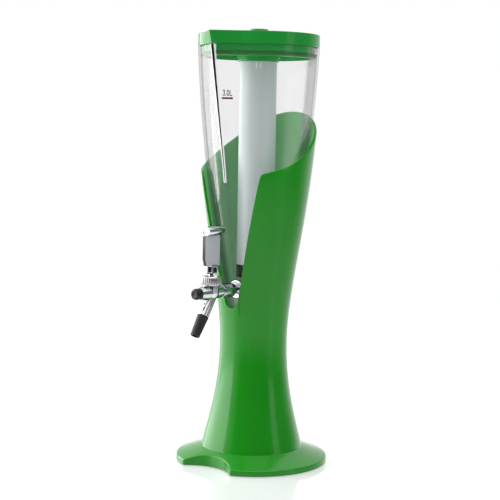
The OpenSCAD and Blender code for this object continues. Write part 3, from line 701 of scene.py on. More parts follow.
def opening_half(z):
    """Half the front opening's width at a height, or less than nothing below it."""
    if z < NOTCH_Z - NOTCH_R:
        return -1.0
    if z < NOTCH_SIDE_Z:
        return math.sqrt(NOTCH_R ** 2 - (NOTCH_Z - z) ** 2)
    if z < LAPEL_CORNER_Z + LAPEL_R * math.sin(NOTCH_LEAN):
        return leaning_edge(z)
    if z < LAPEL_CORNER_Z + LAPEL_R:
        return LAPEL_CORNER_X - math.sqrt(LAPEL_R ** 2 - (z - LAPEL_CORNER_Z) ** 2)
    return LAPEL_CORNER_X


def above_edge(angle, z):
    """Whether a point of the collar's side is in the front opening or above the sloping edge."""
    radius = side_radius(z)
    across = abs(radius * math.sin(angle))
    back = -radius * math.cos(angle)
    return (back < 0 and across < opening_half(z)) or z > look_up(COLLAR_SLOPE, back)


def top_at(angle):
    """Height of the shell's upper edge in one direction."""
    low, high = CREASE[1] + 40, COLLAR_Z
    for _ in range(34):
        middle = (low + high) / 2
        if above_edge(angle, middle):
            high = middle
        else:
            low = middle
    return low


def foot_reach(angle):
    """Radius of the foot's edge in one direction, with the bite's corners rounded."""
    across = BITE_Y * math.sin(angle)
    if math.cos(angle) <= 0 or abs(across) >= BITE_R:
        return FOOT_R
    bite = BITE_Y * math.cos(angle) - math.sqrt(BITE_R ** 2 - across ** 2)
    near = max(BITE_SOFT - abs(bite - FOOT_R), 0.0) / BITE_SOFT
    return min(bite, FOOT_R) - near ** 2 * BITE_SOFT / 4


def foot_rows(reach):
    """Radius and height down the foot's outside in one direction, from the table to the crease."""
    slope = (CREASE[1] - RIM_TOP) / (FOOT_R - CREASE[0])
    edge = RIM_TOP + slope * (FOOT_R - reach)
    rows = [(reach, PAD_SHOW), (reach, PAD_SHOW + 1.2)]
    rows += arc((reach - RIM_SOFT, edge - RIM_SOFT), RIM_SOFT, 0, 72, 6)
    start = Vector(rows[-1])
    rows += [tuple(start.lerp(Vector(CREASE), share)) for share in (0.15, 0.35, 0.6, 0.85, 1.0)]
    return rows


def pedestal():
    """The one-piece shell: foot, column and collar, cut open in front and sloping at its top."""
    sizes = bpy.context.scene.tower_sizes
    columns, side_rows = 320, 66
    crowd_low = 1.15
    angles = [math.tau * i / columns for i in range(columns)]
    tops = [top_at(angle) for angle in angles]
    feet = [foot_rows(foot_reach(angle)) for angle in angles]
    rings = [[polar(angle, *place) for angle, place in zip(angles, row)] for row in zip(*feet)]
    for row in range(1, side_rows + 1):
        share = (row / side_rows) ** crowd_low
        heights = [between(CREASE[1], top, share) for top in tops]
        rings.append([polar(angle, side_radius(z), z) for angle, z in zip(angles, heights)])
    shell = loft("pedestal_moulding", rings)
    face_outwards(shell)
    thicken(shell, sizes.shell_wall)
    add_finishes(shell, "shell", "cut_edge")
    # The bevel's faces take the cut edge's paler, glowing green, a painted highlight along the rim.
    add_modifier(shell, "BEVEL", width=sizes.shell_edge, segments=3, limit_method="ANGLE",
                 angle_limit=math.radians(38.0), use_clamp_overlap=True, material=1)
    add_finishes(shell, "inside")
    # Faces turned to the axis take the inside finish with its painted glow; below the front notch the outer
    # faces lose the rim's painted highlight.
    for face in shell.data.polygons:
        inward = outward(face.normal, face.center) < 0
        if inward and face.material_index == 0:
            face.material_index = 2
        elif face.center.z / MM < NOTCH_Z and not inward:
            face.material_index = 0
    low, top, lip_top = TANK_LOW.z - SHELF_T, TANK_LOW.z, TANK_LOW.z + LIP_H
    shelf = turned("shelf", [(SHELF_HOLE_R, low), (SHELF_R, low), (SHELF_R, top), (LIP_R + LIP_T, top),
                             (LIP_R + LIP_T, lip_top), (LIP_R, lip_top), (LIP_R, top),
                             (SHELF_HOLE_R, top), (SHELF_HOLE_R, low)], steps=96)
    bevel(shelf, 0.4 * MM, 2)
    join(shell, shelf)
    dress(shell, "pedestal", "shell_green", "shell", "pedestal_shell")


# ---- tank -----------------------------------------------------------------------------

def tank_radius(z):
    """Radius of the tank's round side at a height."""
    rise = min(z, TANK_HIGH.z) - TANK_LOW.z
    return TANK_FOOT_R + TANK_FLARE * rise - TANK_EASE * rise ** 2


def prow_reach(z):
    """Distance of the pointed corner from the axis at a height."""
    lean = PROW_LEAN if z < TANK_HIGH.z else LID_LEAN
    return PROW_R - lean * (TANK_HIGH.z - z)


def flank_turn(z):
    """Angle from the front at which the prow's straight flanks meet the round side."""
    z = min(z, TANK_HIGH.z)
    return PROW_SPREAD * math.acos(min(1.0, tank_radius(z) / prow_reach(z)))


def drop_radius(angle, z, inset=0.0):
    """Distance of the drop-shaped side from the axis in one direction: round, with a pointed front."""
    radius, tip, turn = tank_radius(z), prow_reach(z), flank_turn(z)
    away = abs(math.atan2(math.sin(angle), math.cos(angle)))
    share = 1.0 - inset / radius
    if away >= turn:
        return radius * share
    across = tip * math.sin(away) + radius * math.sin(turn - away)
    return share * tip * radius * math.sin(turn) / across


def corner_half(z):
    """Half the width of the painted dark line that stands for the shade the pointed corner shows."""
    share = (z - CORNER_FOOT_Z) / (TANK_HIGH.z - CORNER_FOOT_Z)
    return between(CORNER_NARROW, CORNER_WIDE, max(share, 0.0))


def drop_angles(z, inset=0.0):
    """Angles of a drop-shaped ring: close at the corner, then along the flank, then round the back."""
    reach = drop_radius(0.0, z, inset)
    dark = corner_half(z)
    near = [math.asin(min(0.2, offset / reach)) for offset in (dark * 0.35, dark, dark + PALE_LINE)]
    edge = max(flank_turn(z), near[-1] + math.radians(2.0))
    flank, back = 5, 54
    half = near + [between(near[-1], edge, i / flank) for i in range(1, flank + 1)]
    half += [between(edge, math.pi, i / back) for i in range(1, back)]
    return [0.0] + half + [math.tau - a for a in reversed(half)]


def round_ring(radius, z, plan):
    """A round ring with its points in the same directions as a drop-shaped one."""
    return [polar(angle, radius, z) for angle in drop_angles(plan)]


def drop_ring(z, inset=0.0, at=None, blunt=0.35):
    """A drop-shaped ring at a height, with the plan of that height or of another one."""
    plan = z if at is None else at
    ring = []
    for angle in drop_angles(plan, inset):
        radius = drop_radius(angle, plan, inset)
        if angle == 0.0:
            radius -= blunt
        ring.append(polar(angle, radius, z))
    return ring


def clear_tank():
    """The clear tank: thin wall, flat floor, and a corner that grows out of its front."""
    sizes = bpy.context.scene.tower_sizes
    low, toe, rows = TANK_LOW.z, TANK_TOE, 60
    heights = [low + toe * s for s in (0.25, 0.6, 1.0)]
    heights += [between(low + toe, TANK_HIGH.z, i / rows) for i in range(1, rows + 1)]
    rings = [drop_ring(low, toe)]
    for z in heights:
        left = max(0.0, 1 - (z - low) / toe)
        rings.append(drop_ring(z, max(0.0, toe * (1 - math.sin(math.acos(left))))))
    tank = loft("tank_wall", rings, fill_first=True)
    face_outwards(tank)
    thicken(tank, sizes.tank_wall)
    add_finishes(tank, "clear", "corner_dark", "corner_bright", "tank_base")
    paint_corner(tank)
    # Faces below the tap's level take the painted light of the thick lower end.
    for face in tank.data.polygons:
        if face.center.z / MM < MILKY_TOP:
            face.material_index = 3
    dress(tank, "tank", "tank_clear", "clear", "tank", smooth=7.0)


def paint_corner(tank):
    """Paints the corner's outer faces as a dark line, a painted shade for the corner's refraction, with a
    painted highlight line on either side.
    """
    for face in tank.data.polygons:
        centre = face.center / MM
        if centre.z < CORNER_FOOT_Z or centre.y > 0 or face.normal.y > -0.2 or abs(face.normal.z) > 0.6:
            continue
        turn = math.atan2(centre.x, -centre.y)
        if math.hypot(centre.x, centre.y) < drop_radius(turn, centre.z) - 1.2:
            continue
        half = corner_half(centre.z)
        if abs(centre.x) < half:
            face.material_index = 1
        elif abs(centre.x) < half + PALE_LINE:
            face.material_index = 2


def level_mark():
    """A printed level mark on the tank's right front flank: a volume number over a short line."""
    sizes = bpy.context.scene.tower_sizes
    z = sizes.mark_z / MM
    corner = polar(0.0, prow_reach(z), z)
    flat_end = polar(flank_turn(z), tank_radius(z), z)
    middle = corner.lerp(flat_end, 0.55)
    across = (flat_end - corner).normalized()
    facing = across.cross(UP).normalized()
    place = Matrix((across, UP, facing)).transposed().to_4x4()
    half_long, half_wide, ink = 7.65, 1.2, 0.1
    line = block("level_line", (-half_long, -half_wide, -ink), (half_long, half_wide, ink))
    clear_selection()
    bpy.ops.object.text_add()
    text = bpy.context.object
    text.data.body = "3.0L"
    text.data.size = 11.4 * MM
    text.data.align_x = "CENTER"
    text.data.extrude = ink * MM
    text.data.offset = 0.12 * MM
    text.location = (0, 3.2 * MM, 0)
    make_active(text)
    bpy.ops.object.convert(target="MESH")
    number = name_piece("level_number")
    number.scale.x = 12.6 * MM / number.dimensions.x
    for piece, finish in ((line, "ink_line"), (number, "ink")):
        make_active(piece)
        bpy.ops.object.transform_apply(location=True, rotation=True, scale=True)
        if piece is line:
            bpy.ops.object.mode_set(mode="EDIT")
            bpy.ops.mesh.subdivide(number_cuts=4)
            clear_selection()
        piece.data.transform(Matrix.Translation(middle) @ place)
        add_modifier(piece, "SHRINKWRAP", target=bpy.data.objects["tank_wall"], offset=0.15 * MM)
        dress(piece, "tank", "tank_clear", finish)


# ---- lid ------------------------------------------------------------------------------

def lid():
    """The drop-shaped cap with its knob, the hollow plug with the tube's socket, and the seal."""
    sizes = bpy.context.scene.tower_sizes
    edge = sizes.lid_edge / MM
    low, top = LID_LOW.z, LID_HIGH.z
    wall = sizes.lid_wall / MM
    foot, soft = low + LID_GAP, 0.3
    rings = [drop_ring(foot, wall), drop_ring(foot, soft), drop_ring(foot + soft, 0.0)]
    rings += [drop_ring(between(foot + soft, top - edge, s), 0.0) for s in (0.25, 0.5, 0.75, 1.0)]
    rings += [drop_ring(top - edge + z, edge - r, at=top) for r, z in arc((0, 0), edge, 6, 90, 10)]
    rings += [drop_ring(top, inset, at=top) for inset in (edge + 3.0, edge + 4.6)]
    rings += [drop_ring(top - 0.7, inset, at=top) for inset in (edge + 5.2, 30.0, 60.0)]
    cap = loft("lid_cap_moulding", rings, fill_last=True)
    dress(cap, "lid", "lid_green", "lid", "lid_cap", smooth=10.0)

    skin, groove, hollow = 6.0, 8.0, 11.0
    roof, bore = PLUG_HIGH.z - 3.0, TUBE_R + 0.25
    side = [(PLUG_HIGH.z, skin), (SEAL_HIGH.z, skin), (SEAL_HIGH.z, groove), (SEAL_LOW.z, groove),
            (SEAL_LOW.z, skin), (PLUG_Z + 0.5, skin), (PLUG_Z, skin + 0.5), (PLUG_Z, hollow - 0.4),
            (PLUG_Z + 0.4, hollow), (roof, hollow)]
    core = [(PLUG_CORE_R, roof), (PLUG_CORE_R, PLUG_Z + 0.4), (PLUG_CORE_R - 0.4, PLUG_Z),
            (SOCKET_R, PLUG_Z), (SOCKET_R, PLUG_LOW.z + 0.6), (SOCKET_R - 0.6, PLUG_LOW.z),
            (bore + 0.5, PLUG_LOW.z), (bore, PLUG_LOW.z + 0.5), (bore, TUBE_HIGH.z + 0.3)]
    rings = [drop_ring(z, inset, at=PLUG_Z) for z, inset in side]
    rings += [round_ring(radius, z, PLUG_Z) for radius, z in core]
    plug = loft("lid_plug_moulding", rings, fill_first=True, fill_last=True)
    dress(plug, "lid", "lid_green", "plug", "lid_plug", smooth=10.0)

    lip = 3.5
    profile = [(SEAL_LOW.z, groove), (SEAL_LOW.z, lip + 0.7), (SEAL_LOW.z + 0.8, lip),
               (SEAL_HIGH.z - 0.8, lip), (SEAL_HIGH.z, lip + 0.7), (SEAL_HIGH.z, groove),
               (SEAL_LOW.z, groove)]
    seal = loft("lid_seal_ring", [drop_ring(z, inset, at=PLUG_Z) for z, inset in profile])
    dress(seal, "lid", "seal_green", "green_seal", "lid_seal", smooth=10.0)

    radius, foot, top, soft = KNOB_HIGH.x, LID_HIGH.z, KNOB_HIGH.z, 1.6
    knob = turned("lid_knob_moulding", [(0, foot - 3), (radius, foot - 0.7), (radius, foot + 1)]
                  + arc((radius - soft, top - soft), soft, 0, 90, 6)
                  + [(radius - 3.2, top), (radius - 3.8, top - 0.6), (0, top - 0.8)], steps=72)
    dress(knob, "lid", "lid_green", "lid", "lid_knob")


# ---- ice tube -------------------------------------------------------------------------

def ice_tube():
    """The frosted tube with its two alignment ribs, and the dark cap that closes its foot."""
    radius, inner = TUBE_R, TUBE_R - TUBE_T
    low, high = ENDCAP_HIGH.z, TUBE_HIGH.z
    foot = low - 8
    tube = turned("tube_moulding", [(inner, foot), (radius - 0.4, foot), (radius - 0.4, low),
                                    (radius, low + 0.2), (radius, high - 0.5), (radius - 0.5, high),
                                    (inner + 0.4, high), (inner, high - 0.4), (inner, foot)], steps=128)
    rib_top = PLUG_LOW.z - 1.6
    add_finishes(tube, "frost")
    ribs = []
    for turn in (-57.0, -45.0):
        rib = block("rib", (radius - 1.0, -1.0, rib_top - 7.4), (radius + 0.8, 1.0, rib_top))
        rib.data.transform(Matrix.Rotation(math.radians(turn), 4, "Z"))
        bevel(rib, 0.35 * MM, 2)
        add_finishes(rib, "rib")
        ribs.append(rib)
    join(tube, *ribs)
    dress(tube, "ice_tube", "tube_frost", "frost", "ice_tube")

    radius, low = ENDCAP_HIGH.x, ENDCAP_LOW.z
    cap = turned("tube_end_cap", [(0, low)] + arc((radius - 1.5, low + 1.5), 1.5, -90, 0, 5)
                 + [(radius, low + 12.4), (radius - 0.5, low + 12.8), (radius - 0.5, low + 13.6),
                    (radius, low + 14.0), (radius, ENDCAP_HIGH.z - 0.4), (radius - 0.4, ENDCAP_HIGH.z),
                    (radius - 1.2, ENDCAP_HIGH.z), (radius - 1.2, low + 3), (0, low + 3)], steps=96)
    dress(cap, "ice_tube", "cap_black", "cap_black", "ice_tube_cap")


# ---- tap ------------------------------------------------------------------------------

def tap_fastening():
    """Rubber washer, flange and coupling nut between the tank and the tap."""
    back, front = -WASHER_HIGH.y, -WASHER_LOW.y
    radius = WASHER_HIGH.x
    bore = 6.3
    washer = along_tap("tap_washer", [(bore, back), (radius, back), (radius, front), (bore, front),
                                      (bore, back)])
    bevel(washer, 0.3 * MM, 2)
    dress(washer, "tank", "seal_black", "rubber", "tap_outer_seal")

    back, front = -FLANGE_HIGH.y, -FLANGE_LOW.y
    radius = FLANGE_HIGH.x
    bore = 6.2
    flange = along_tap("tap_flange_plate", [
        (bore, back), (radius - 0.3, back), (radius, back + 0.4), (radius, front - 1.2),
        (radius - 0.5, front - 0.4), (radius - 1.4, front), (radius - 2.4, front - 0.1),
        (radius - 3.4, front - 0.9), (bore, front - 1.0), (bore, back)])
    dress(flange, "tank", "tap_chrome", "chrome", "tap_flange")

    back, front = -NUT_HIGH.y, -NUT_LOW.y
    radius = NUT_HIGH.x + 0.6
    nut = along_tap("tap_coupling", [
        (0, back), (radius - 3.0, back), (radius - 2.4, back + 0.5), (radius - 1.0, back + 3.6),
        (radius, back + 7.2), (radius, front - 0.8), (radius - 0.8, front), (0, front)], steps=96)
    trim_tap_flats(nut, radius - 0.6)
    bore = 6.1
    rod = along_tap("bore", [(0, back - 1), (bore, back - 1), (bore, front + 1), (0, front + 1)])
    combine(nut, rod, "DIFFERENCE")
    bevel(nut, 0.25 * MM, 2, 15.0)
    dress(nut, "tank", "tap_chrome", "chrome", "tap_coupling_nut", smooth=20.0)


def down_spout(name, outline, steps=64):
    """A piece turned round the spout's leaning axis."""
    lean = Vector((0.0, -math.sin(SPOUT_LEAN), -math.cos(SPOUT_LEAN)))
    return turned(name, outline, base=(0, SPOUT_Y, TAP_Z), axis=lean, steps=steps)


def tap_body():
    """The plated body: barrel with its bell mouth, upright tower and leaning spout in one."""
    sizes = bpy.context.scene.tower_sizes
    lever = -LEVER_Y
    back, front = -BODY_HIGH.y, BARREL_END
    bell = [(10.0, lever + 1), (10.0, front - 11), (8.3, front - 5), (7.5, front)]
    side = [tuple(point) for point in run_of(bell, 10)]
    barrel = along_tap("tap_body_plated", [
        (0, back), (7.5, back), (7.5, 73.6), (8.2, 73.8), (8.7, 74.4), (8.7, lever - 3), (10.0, lever),
        *side, (7.1, front), (6.2, front - 0.4), (0, front - 0.4)], steps=80)
    top = BODY_HIGH.z
    tower = turned("tower", [(0, TAP_Z - TOWER_R)] + arc((0, TAP_Z), TOWER_R, -80, 0, 12)
                   + [(TOWER_R, top - 0.5), (TOWER_R - 0.5, top), (0, top)],
                   base=(0, LEVER_Y, 0), steps=80)
    combine(barrel, tower, "UNION")
    start, tail, bore = SLEEVE_START, 5.4, 4.2
    spout = down_spout("spout", [(0, 0), (7.2, 0), (7.2, start - 0.3), (6.9, start), (tail, start + 0.2),
                                 (tail, start + 23), (bore, start + 23), (bore, 12), (0, 12)], steps=80)
    combine(barrel, spout, "UNION")
    vent_r, vent_drop = 1.25, 14
    vent = turned("vent", [(0, 0), (vent_r, 0), (vent_r, 20), (0, 20)], steps=24, axis=(0, -1, 0),
                  base=(0, SPOUT_Y - vent_drop * math.tan(SPOUT_LEAN) - 4, TAP_Z - vent_drop))
    combine(barrel, vent, "DIFFERENCE")
    bevel(barrel, sizes.metal_edge * 0.5, 2, 40.0)
    dress(barrel, "tank", "tap_chrome", "chrome", "tap_body", smooth=30.0)


def tap_end_cap():
    """The black eight-sided cap that closes the barrel."""
    front, back = -CAP_LOW.y, BARREL_END
    radius = CAP_HIGH.x
    cap = along_tap("barrel_end_cap", [
        (0, back - 3.2), (5.8, back - 3.2), (5.8, back), (radius - 0.5, back), (radius, back + 0.6),
        (radius, front - 2.6), (radius - 0.8, front - 0.9), (radius - 2.2, front),
        (radius - 3.4, front), (radius - 3.9, front - 0.4), (0, front - 0.5)], steps=96)
    trim_tap_flats(cap, radius - 0.3)
    bevel(cap, 0.2 * MM, 2, 20.0)
    dress(cap, "tank", "cap_black", "cap_black", "tap_end_cap", smooth=20.0)


def nozzle_sleeve():
    """The tapered rubber sleeve on the spout."""
    top, low = SLEEVE_START, SLEEVE_START + SLEEVE_L
    sleeve = down_spout("spout_sleeve", [
        (5.5, top), (7.5, top), (7.9, top + 0.5), (7.9, top + 1.6), (7.6, top + 2.2), (6.5, low - 2.4),
        (6.4, low - 0.8), (6.0, low), (4.7, low), (4.3, low - 0.6), (4.3, top + 23.4),
        (5.5, top + 23.3), (5.5, top)], steps=72)
    dress(sleeve, "tank", "seal_black", "rubber", "nozzle_sleeve")


def bonnet_ring():
    """The knurled ring that holds the lever's ball down."""
    knurls, steps = 30, 5
    count = knurls * steps
    radius = RING_HIGH.x
    low, high = RING_LOW.z, RING_HIGH.z

    def ring(base, z, depth=0.0):
        places = []
        for i in range(count):
            flute = max(0.0, math.cos(math.tau * i / steps))
            point = polar(math.tau * i / count, base - depth * flute, z)
            places.append(point + Vector((0, LEVER_Y, 0)) * MM)
        return places

    bore = 11.4
    rows = [(bore, low), (radius - 1.3, low), (radius - 0.3, low + 1.1, 0.3), (radius, low + 1.8, 0.7),
            (radius, low + 6.0, 0.7), (radius, high - 1.8, 0.7), (radius - 0.3, high - 1.1, 0.3),
            (radius - 1.4, high), (8.2, high), (5.7, high - 3.1), (BALL_CUP_R, high - 3.3),
            (BALL_CUP_R, high - 6.3), (bore, high - 6.5), (bore, low)]
    bonnet = loft("bonnet_knurled", [ring(*row) for row in rows])
    dress(bonnet, "tank", "ring_silver", "satin", "bonnet_ring", smooth=40.0)


# ---- lever ----------------------------------------------------------------------------

HUB_Z = HANDLE_LOW.z
HUB_R = 10.0
HUB_HALF = 7.0
PLATE_Z = BALL_Z + 21.4
PLATE_TOP = PLATE_Z + 41.0
PLATE_HALF = 2.3
PLATE_REACH = 15.0
PLATE_FRONT = LEVER_Y - PLATE_REACH
PLATE_BACK = LEVER_Y + PLATE_REACH
GRIP_R = GRIP_HIGH.x
GRIP_Z = (GRIP_LOW.z + GRIP_HIGH.z) / 2


def lever_handle():
    """The hub with its window, and the flat plate that stands on it."""
    sizes = bpy.context.scene.tower_sizes
    rise = (HUB_R - 3.6) * math.tan(PULL)
    hub = turned("lever_hub_and_plate", [
        (0, HUB_Z), (3.4, HUB_Z), (3.9, HUB_Z + 0.3), (HUB_R - 0.5, HUB_Z + rise - 0.1),
        (HUB_R, HUB_Z + rise + 0.6), (HUB_R, PLATE_Z - 0.2), (HUB_R - 0.6, PLATE_Z + 0.9),
        (0, PLATE_Z + 0.9)],
        base=(0, LEVER_Y, 0), steps=80)
    for way in (-1, 1):
        trim_flat(hub, Vector((way * HUB_HALF * MM, 0, 0)), Vector((way, 0, 0)))
    window = block("window", (HUB_HALF - 2.2, LEVER_Y - 3.6, HUB_Z + 2.8),
                   (HUB_HALF + 1, LEVER_Y + 3.6, HUB_Z + 9.8))
    combine(hub, window, "DIFFERENCE")
    bevel(hub, 0.7 * MM, 3, 40.0)
    outline = [(PLATE_FRONT + 3, PLATE_Z), (PLATE_FRONT, PLATE_Z + 10), (PLATE_FRONT, PLATE_TOP),
               (PLATE_BACK, PLATE_TOP), (PLATE_BACK, PLATE_Z), (PLATE_FRONT + 3, PLATE_Z)]
    plate = draw_outline("plate", [Vector((-PLATE_HALF, y, z)) * MM for y, z in outline])
    bpy.ops.mesh.select_all(action="SELECT")
    bpy.ops.mesh.remove_doubles(threshold=0.01 * MM)
    bpy.ops.mesh.edge_face_add()
    bpy.ops.mesh.extrude_region_move(TRANSFORM_OT_translate={"value": (2 * PLATE_HALF * MM, 0, 0)})
    tidy_mesh(plate)
    saddle = turned("saddle", [(0, -60), (GRIP_R + 0.05, -60), (GRIP_R + 0.05, 60), (0, 60)],
                    base=(0, LEVER_Y, GRIP_Z), axis=(0, 1, 0), steps=80)
    combine(plate, saddle, "DIFFERENCE")
    bevel(plate, sizes.plate_edge, 4, 50.0)
    add_finishes(hub, "chrome")
    add_finishes(plate, "plate", "plate_edge")
    # The plate's front faces take the painted dark reflection.
    for face in plate.data.polygons:
        if face.normal.y < -0.7:
            face.material_index = 1
    join(hub, plate)
    dress(hub, "lever", "tap_chrome", "chrome", "lever_handle", smooth=30.0)

    plug = block("window_plug", (HUB_HALF - 2.4, LEVER_Y - 3.5, HUB_Z + 2.9),
                 (HUB_HALF - 0.9, LEVER_Y + 3.5, HUB_Z + 9.7))
    bevel(plug, 0.4 * MM, 2)
    dress(plug, "lever", "cap_black", "cap_black", "hub_plug")


def lever_grip():
    """The grip across the top: a dished flat end in front and a rounded one behind."""
    front, back = -GRIP_LOW.y, -GRIP_HIGH.y
    grip = turned("lever_grip_bar", [(0, back)] + arc((GRIP_R - 3.4, back + 3.4), 3.4, -90, 0, 8)
                  + [(GRIP_R, front - 0.9), (GRIP_R - 0.3, front - 0.3), (GRIP_R - 0.9, front),
                     (GRIP_R - 1.5, front - 0.3), (GRIP_R - 1.8, front - 1.0), (0, front - 1.4)],
                  base=(0, 0, GRIP_Z), axis=(0, -1, 0), steps=80)
    dress(grip, "lever", "tap_chrome", "chrome", "lever_grip")


# ---- nodes that keep their own solids -------------------------------------------------

KEPT = {
    "bottom_cover": "black", "ballast_plate": "iron", "cover_screws": "steel", "rubber_feet": "rubber",
    "ice_tube_seal": "rubber", "tap_lock_nut": "chrome", "tap_inner_seal": "rubber",
    "tap_shank": "chrome", "shank_washer": "rubber", "end_cap_seal": "rubber", "ball_seat": "seat",
    "lever_stem": "chrome", "plunger": "steel", "piston_seal": "rubber",
}


def dress_kept_nodes():
    """Materials for the small and inner parts that stay as they are."""
    for name, finish in KEPT.items():
        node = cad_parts[name]
        node.data.materials.clear()
        add_finishes(node, finish)


# ---- stage ----------------------------------------------------------------------------

def stage_floor():
    """A pale, faintly glossy floor that shows white to the camera and keeps the tower's shadow."""
    clear_selection()
    bpy.ops.mesh.primitive_circle_add(vertices=96, radius=2.0, fill_type="NGON")
    floor = name_piece("studio_floor")
    n = Nodes("floor_pale")
    ray = n.add("ShaderNodeLightPath").outputs
    seen = n.either(ray["Is Camera Ray"], ray["Is Glossy Ray"])
    reach = n.add("ShaderNodeVectorMath", operation="LENGTH")
    n.feed(n.where, reach.inputs[0])
    n.set(Base_Color=n.blend(n.noise(1.2), (0.50, 0.52, 0.515, 1.0), (0.53, 0.55, 0.545, 1.0)),
          Roughness=0.08, Specular_IOR_Level=0.5, Emission_Color=WHITE,
          Emission_Strength=n.spread(seen, 0.0, 0.42, 0.0, 1.0),
          Alpha=n.spread(reach.outputs["Value"], 1.0, 0.0, 0.7, 1.9))
    floor.data.materials.append(n.material)


# What metal and gloss mirror of the room, by the turn from the camera, positive to the picture's right
ROOM = [
    (-62, (1.0, 1.0, 1.0)), (-42, (0.02, 0.02, 0.02)), (38, (0.02, 0.02, 0.02)),
    (56, (0.2, 0.21, 0.22)), (84, (0.12, 0.14, 0.15)), (100, (0.16, 0.18, 0.19)),
    (122, (0.7, 0.72, 0.73)), (135, (1.0, 1.0, 1.0)),
]

SKY_STRENGTH = 0.68
# Each lamp's turn, distance, height, width, how tall it is, and its radiance
LAMPS = {
    "softbox_left": (-106.0, 1.7, 0.75, 3.0, 1.6, 3.0),
    "softbox_right": (60.0, 2.4, 0.9, 0.7, 1.6, 0.8),
    "softbox_top": (20.0, 0.9, 2.4, 2.0, 1.6, 1.4),
}
LAMP_AIM_Z = 0.3


def stage_world():
    """White round the left and back, dark toward the camera: that gives metal and gloss their contrast."""
    world = bpy.data.worlds.new("studio_world")
    bpy.context.scene.world = world
    world.use_nodes = True
    world.node_tree.nodes.clear()
    n = Tree(world.node_tree)
    way = n.add("ShaderNodeTexCoord").outputs["Generated"]
    turn = n.add("ShaderNodeMath", operation="ARCTAN2")
    for socket, axis in zip(turn.inputs, (TO_RIGHT, TO_CAMERA)):
        dot = n.add("ShaderNodeVectorMath", operation="DOT_PRODUCT")
        n.feed(way, dot.inputs[0])
        n.feed(axis, dot.inputs[1])
        n.feed(dot.outputs["Value"], socket)
    ramp = n.add("ShaderNodeValToRGB", Fac=n.spread(turn.outputs["Value"], 0.0, 1.0, -math.pi, math.pi))
    stops = ramp.color_ramp.elements
    for stop, position in zip(stops, (0.0, 1.0)):
        stop.position, stop.color = position, WHITE
    for degrees, colour in ROOM:
        stops.new(degrees / 360 + 0.5).color = (*colour, 1.0)
    height = n.add("ShaderNodeSeparateXYZ")
    n.feed(way, height.inputs[0])
    overhead = n.spread(height.outputs["Z"], 0.0, 1.0, 0.42, 0.62)
    room = n.blend(overhead, ramp.outputs["Color"], WHITE)
    sky = n.add("ShaderNodeBackground", Color=WHITE, Strength=SKY_STRENGTH).outputs[0]
    seen = n.add("ShaderNodeBackground", Color=WHITE, Strength=1.0).outputs[0]
    mirrored = n.add("ShaderNodeBackground", Color=room).outputs[0]
    ray = n.add("ShaderNodeLightPath").outputs
    lit = n.mix(ray["Is Glossy Ray"], sky, mirrored)
    straight = n.either(ray["Is Camera Ray"], ray["Is Transmission Ray"])
    n.add("ShaderNodeOutputWorld", Surface=n.mix(straight, lit, seen))


def softbox(name, turn, distance, height, width, tall, radiance):
    """A soft lamp. Its turn is measured from the camera's side, positive to the picture's right."""
    way = Matrix.Rotation(math.radians(turn), 3, "Z") @ TO_CAMERA
    light = bpy.data.lights.new(name, "AREA")
    light.shape = "RECTANGLE"
    light.size, light.size_y = width, tall
    light.energy = radiance * math.pi * width * tall
    lamp = bpy.data.objects.new(name, light)
    bpy.context.scene.collection.objects.link(lamp)
    lamp.location = way * distance + UP * height
    aim = UP * LAMP_AIM_Z - lamp.location
    lamp.rotation_euler = aim.to_track_quat("-Z", "Y").to_euler()


def stage_camera():
    """The camera at the reference picture's height and turn, with its slight roll."""
    sizes = bpy.context.scene.tower_sizes
    pitch = math.radians(5.295)
    roll = math.radians(1.08)
    aside = -7.0 * MM
    camera = bpy.data.cameras.new("studio_camera")
    camera.lens = 94.83
    camera.sensor_width = 36.0
    holder = bpy.data.objects.new("studio_camera", camera)
    bpy.context.scene.collection.objects.link(holder)
    holder.location = TO_CAMERA * sizes.camera_back + UP * sizes.camera_up + TO_RIGHT * aside
    look = (-TO_CAMERA * math.cos(pitch) - UP * math.sin(pitch)).normalized()
    turn = look.to_track_quat("-Z", "Y").to_matrix()
    holder.rotation_euler = (turn @ Matrix.Rotation(roll, 3, "Z")).to_euler()
    bpy.context.scene.camera = holder
    bpy.context.scene.view_settings.view_transform = "Standard"


# ---- operators, panel and registration ------------------------------------------------

DONE = {"FINISHED"}
UNDOABLE = {"REGISTER", "UNDO"}


class TOWER_OT_stage(bpy.types.Operator):
    """Make the floor, the world, the lamps and the camera"""
    bl_idname = "tower.stage"
    bl_label = "Stage"
    bl_options = UNDOABLE

    def execute(self, context):
        stage_floor()
        stage_world()
        for name, setting in LAMPS.items():
            softbox(name, *setting)
        stage_camera()
        return DONE


class TOWER_OT_finishes(bpy.types.Operator):
    """Make the materials, and dress the parts that keep their own solids"""
    bl_idname = "tower.finishes"
    bl_label = "Finishes"
    bl_options = UNDOABLE

    def execute(self, context):
        make_finishes(context.scene.tower_colours)
        dress_kept_nodes()
        return DONE


class TOWER_OT_pedestal(bpy.types.Operator):
    """Make the pedestal shell with its collar, front opening and shelf"""
    bl_idname = "tower.pedestal"
    bl_label = "Pedestal"
    bl_options = UNDOABLE

    def execute(self, context):
        pedestal()
        return DONE


class TOWER_OT_tank(bpy.types.Operator):
    """Make the clear tank and its level mark"""
    bl_idname = "tower.tank"
    bl_label = "Tank"
    bl_options = UNDOABLE

    def execute(self, context):
        clear_tank()
        level_mark()
        return DONE


class TOWER_OT_lid(bpy.types.Operator):
    """Make the lid, its knob, plug and seal"""
    bl_idname = "tower.lid"
    bl_label = "Lid"
    bl_options = UNDOABLE

    def execute(self, context):
        lid()
        return DONE


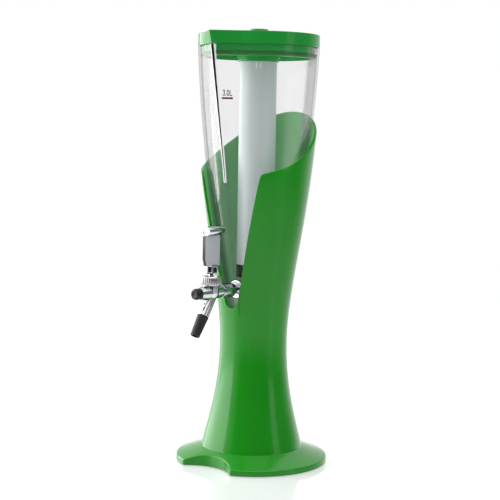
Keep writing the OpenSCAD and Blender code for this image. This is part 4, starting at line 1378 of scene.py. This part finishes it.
class TOWER_OT_ice_tube(bpy.types.Operator):
    """Make the ice tube and its end cap"""
    bl_idname = "tower.ice_tube"
    bl_label = "Ice Tube"
    bl_options = UNDOABLE

    def execute(self, context):
        ice_tube()
        return DONE


class TOWER_OT_tap(bpy.types.Operator):
    """Make the tap from the washer on the tank to the rubber sleeve"""
    bl_idname = "tower.tap"
    bl_label = "Tap"
    bl_options = UNDOABLE

    def execute(self, context):
        tap_fastening()
        tap_body()
        tap_end_cap()
        nozzle_sleeve()
        bonnet_ring()
        return DONE


class TOWER_OT_lever(bpy.types.Operator):
    """Make the lever's hub, plate and grip"""
    bl_idname = "tower.lever"
    bl_label = "Lever"
    bl_options = UNDOABLE

    def execute(self, context):
        lever_handle()
        lever_grip()
        return DONE


STEPS = (TOWER_OT_stage, TOWER_OT_finishes, TOWER_OT_pedestal, TOWER_OT_tank, TOWER_OT_lid,
         TOWER_OT_ice_tube, TOWER_OT_tap, TOWER_OT_lever)


class TOWER_PT_panel(bpy.types.Panel):
    """Lists the steps and the sizes and colours they use"""
    bl_idname = "TOWER_PT_panel"
    bl_label = "Drink Tower"
    bl_space_type = "VIEW_3D"
    bl_region_type = "UI"
    bl_category = "Drink Tower"

    def draw(self, context):
        column = self.layout.column()
        for step in STEPS:
            column.operator(step.bl_idname)
        for group in (context.scene.tower_sizes, context.scene.tower_colours):
            for key in group.__annotations__:
                column.prop(group, key)


CLASSES = (TowerSizes, TowerColours, *STEPS, TOWER_PT_panel)


def register():
    for one in CLASSES:
        bpy.utils.register_class(one)
    bpy.types.Scene.tower_sizes = bpy.props.PointerProperty(type=TowerSizes)
    bpy.types.Scene.tower_colours = bpy.props.PointerProperty(type=TowerColours)


def unregister():
    del bpy.types.Scene.tower_colours
    del bpy.types.Scene.tower_sizes
    for one in reversed(CLASSES):
        bpy.utils.unregister_class(one)


def main():
    """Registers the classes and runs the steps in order."""
    register()
    for step in STEPS:
        group, name = step.bl_idname.split(".")
        getattr(getattr(bpy.ops, group), name)()


if __name__ == "__main__":
    main()
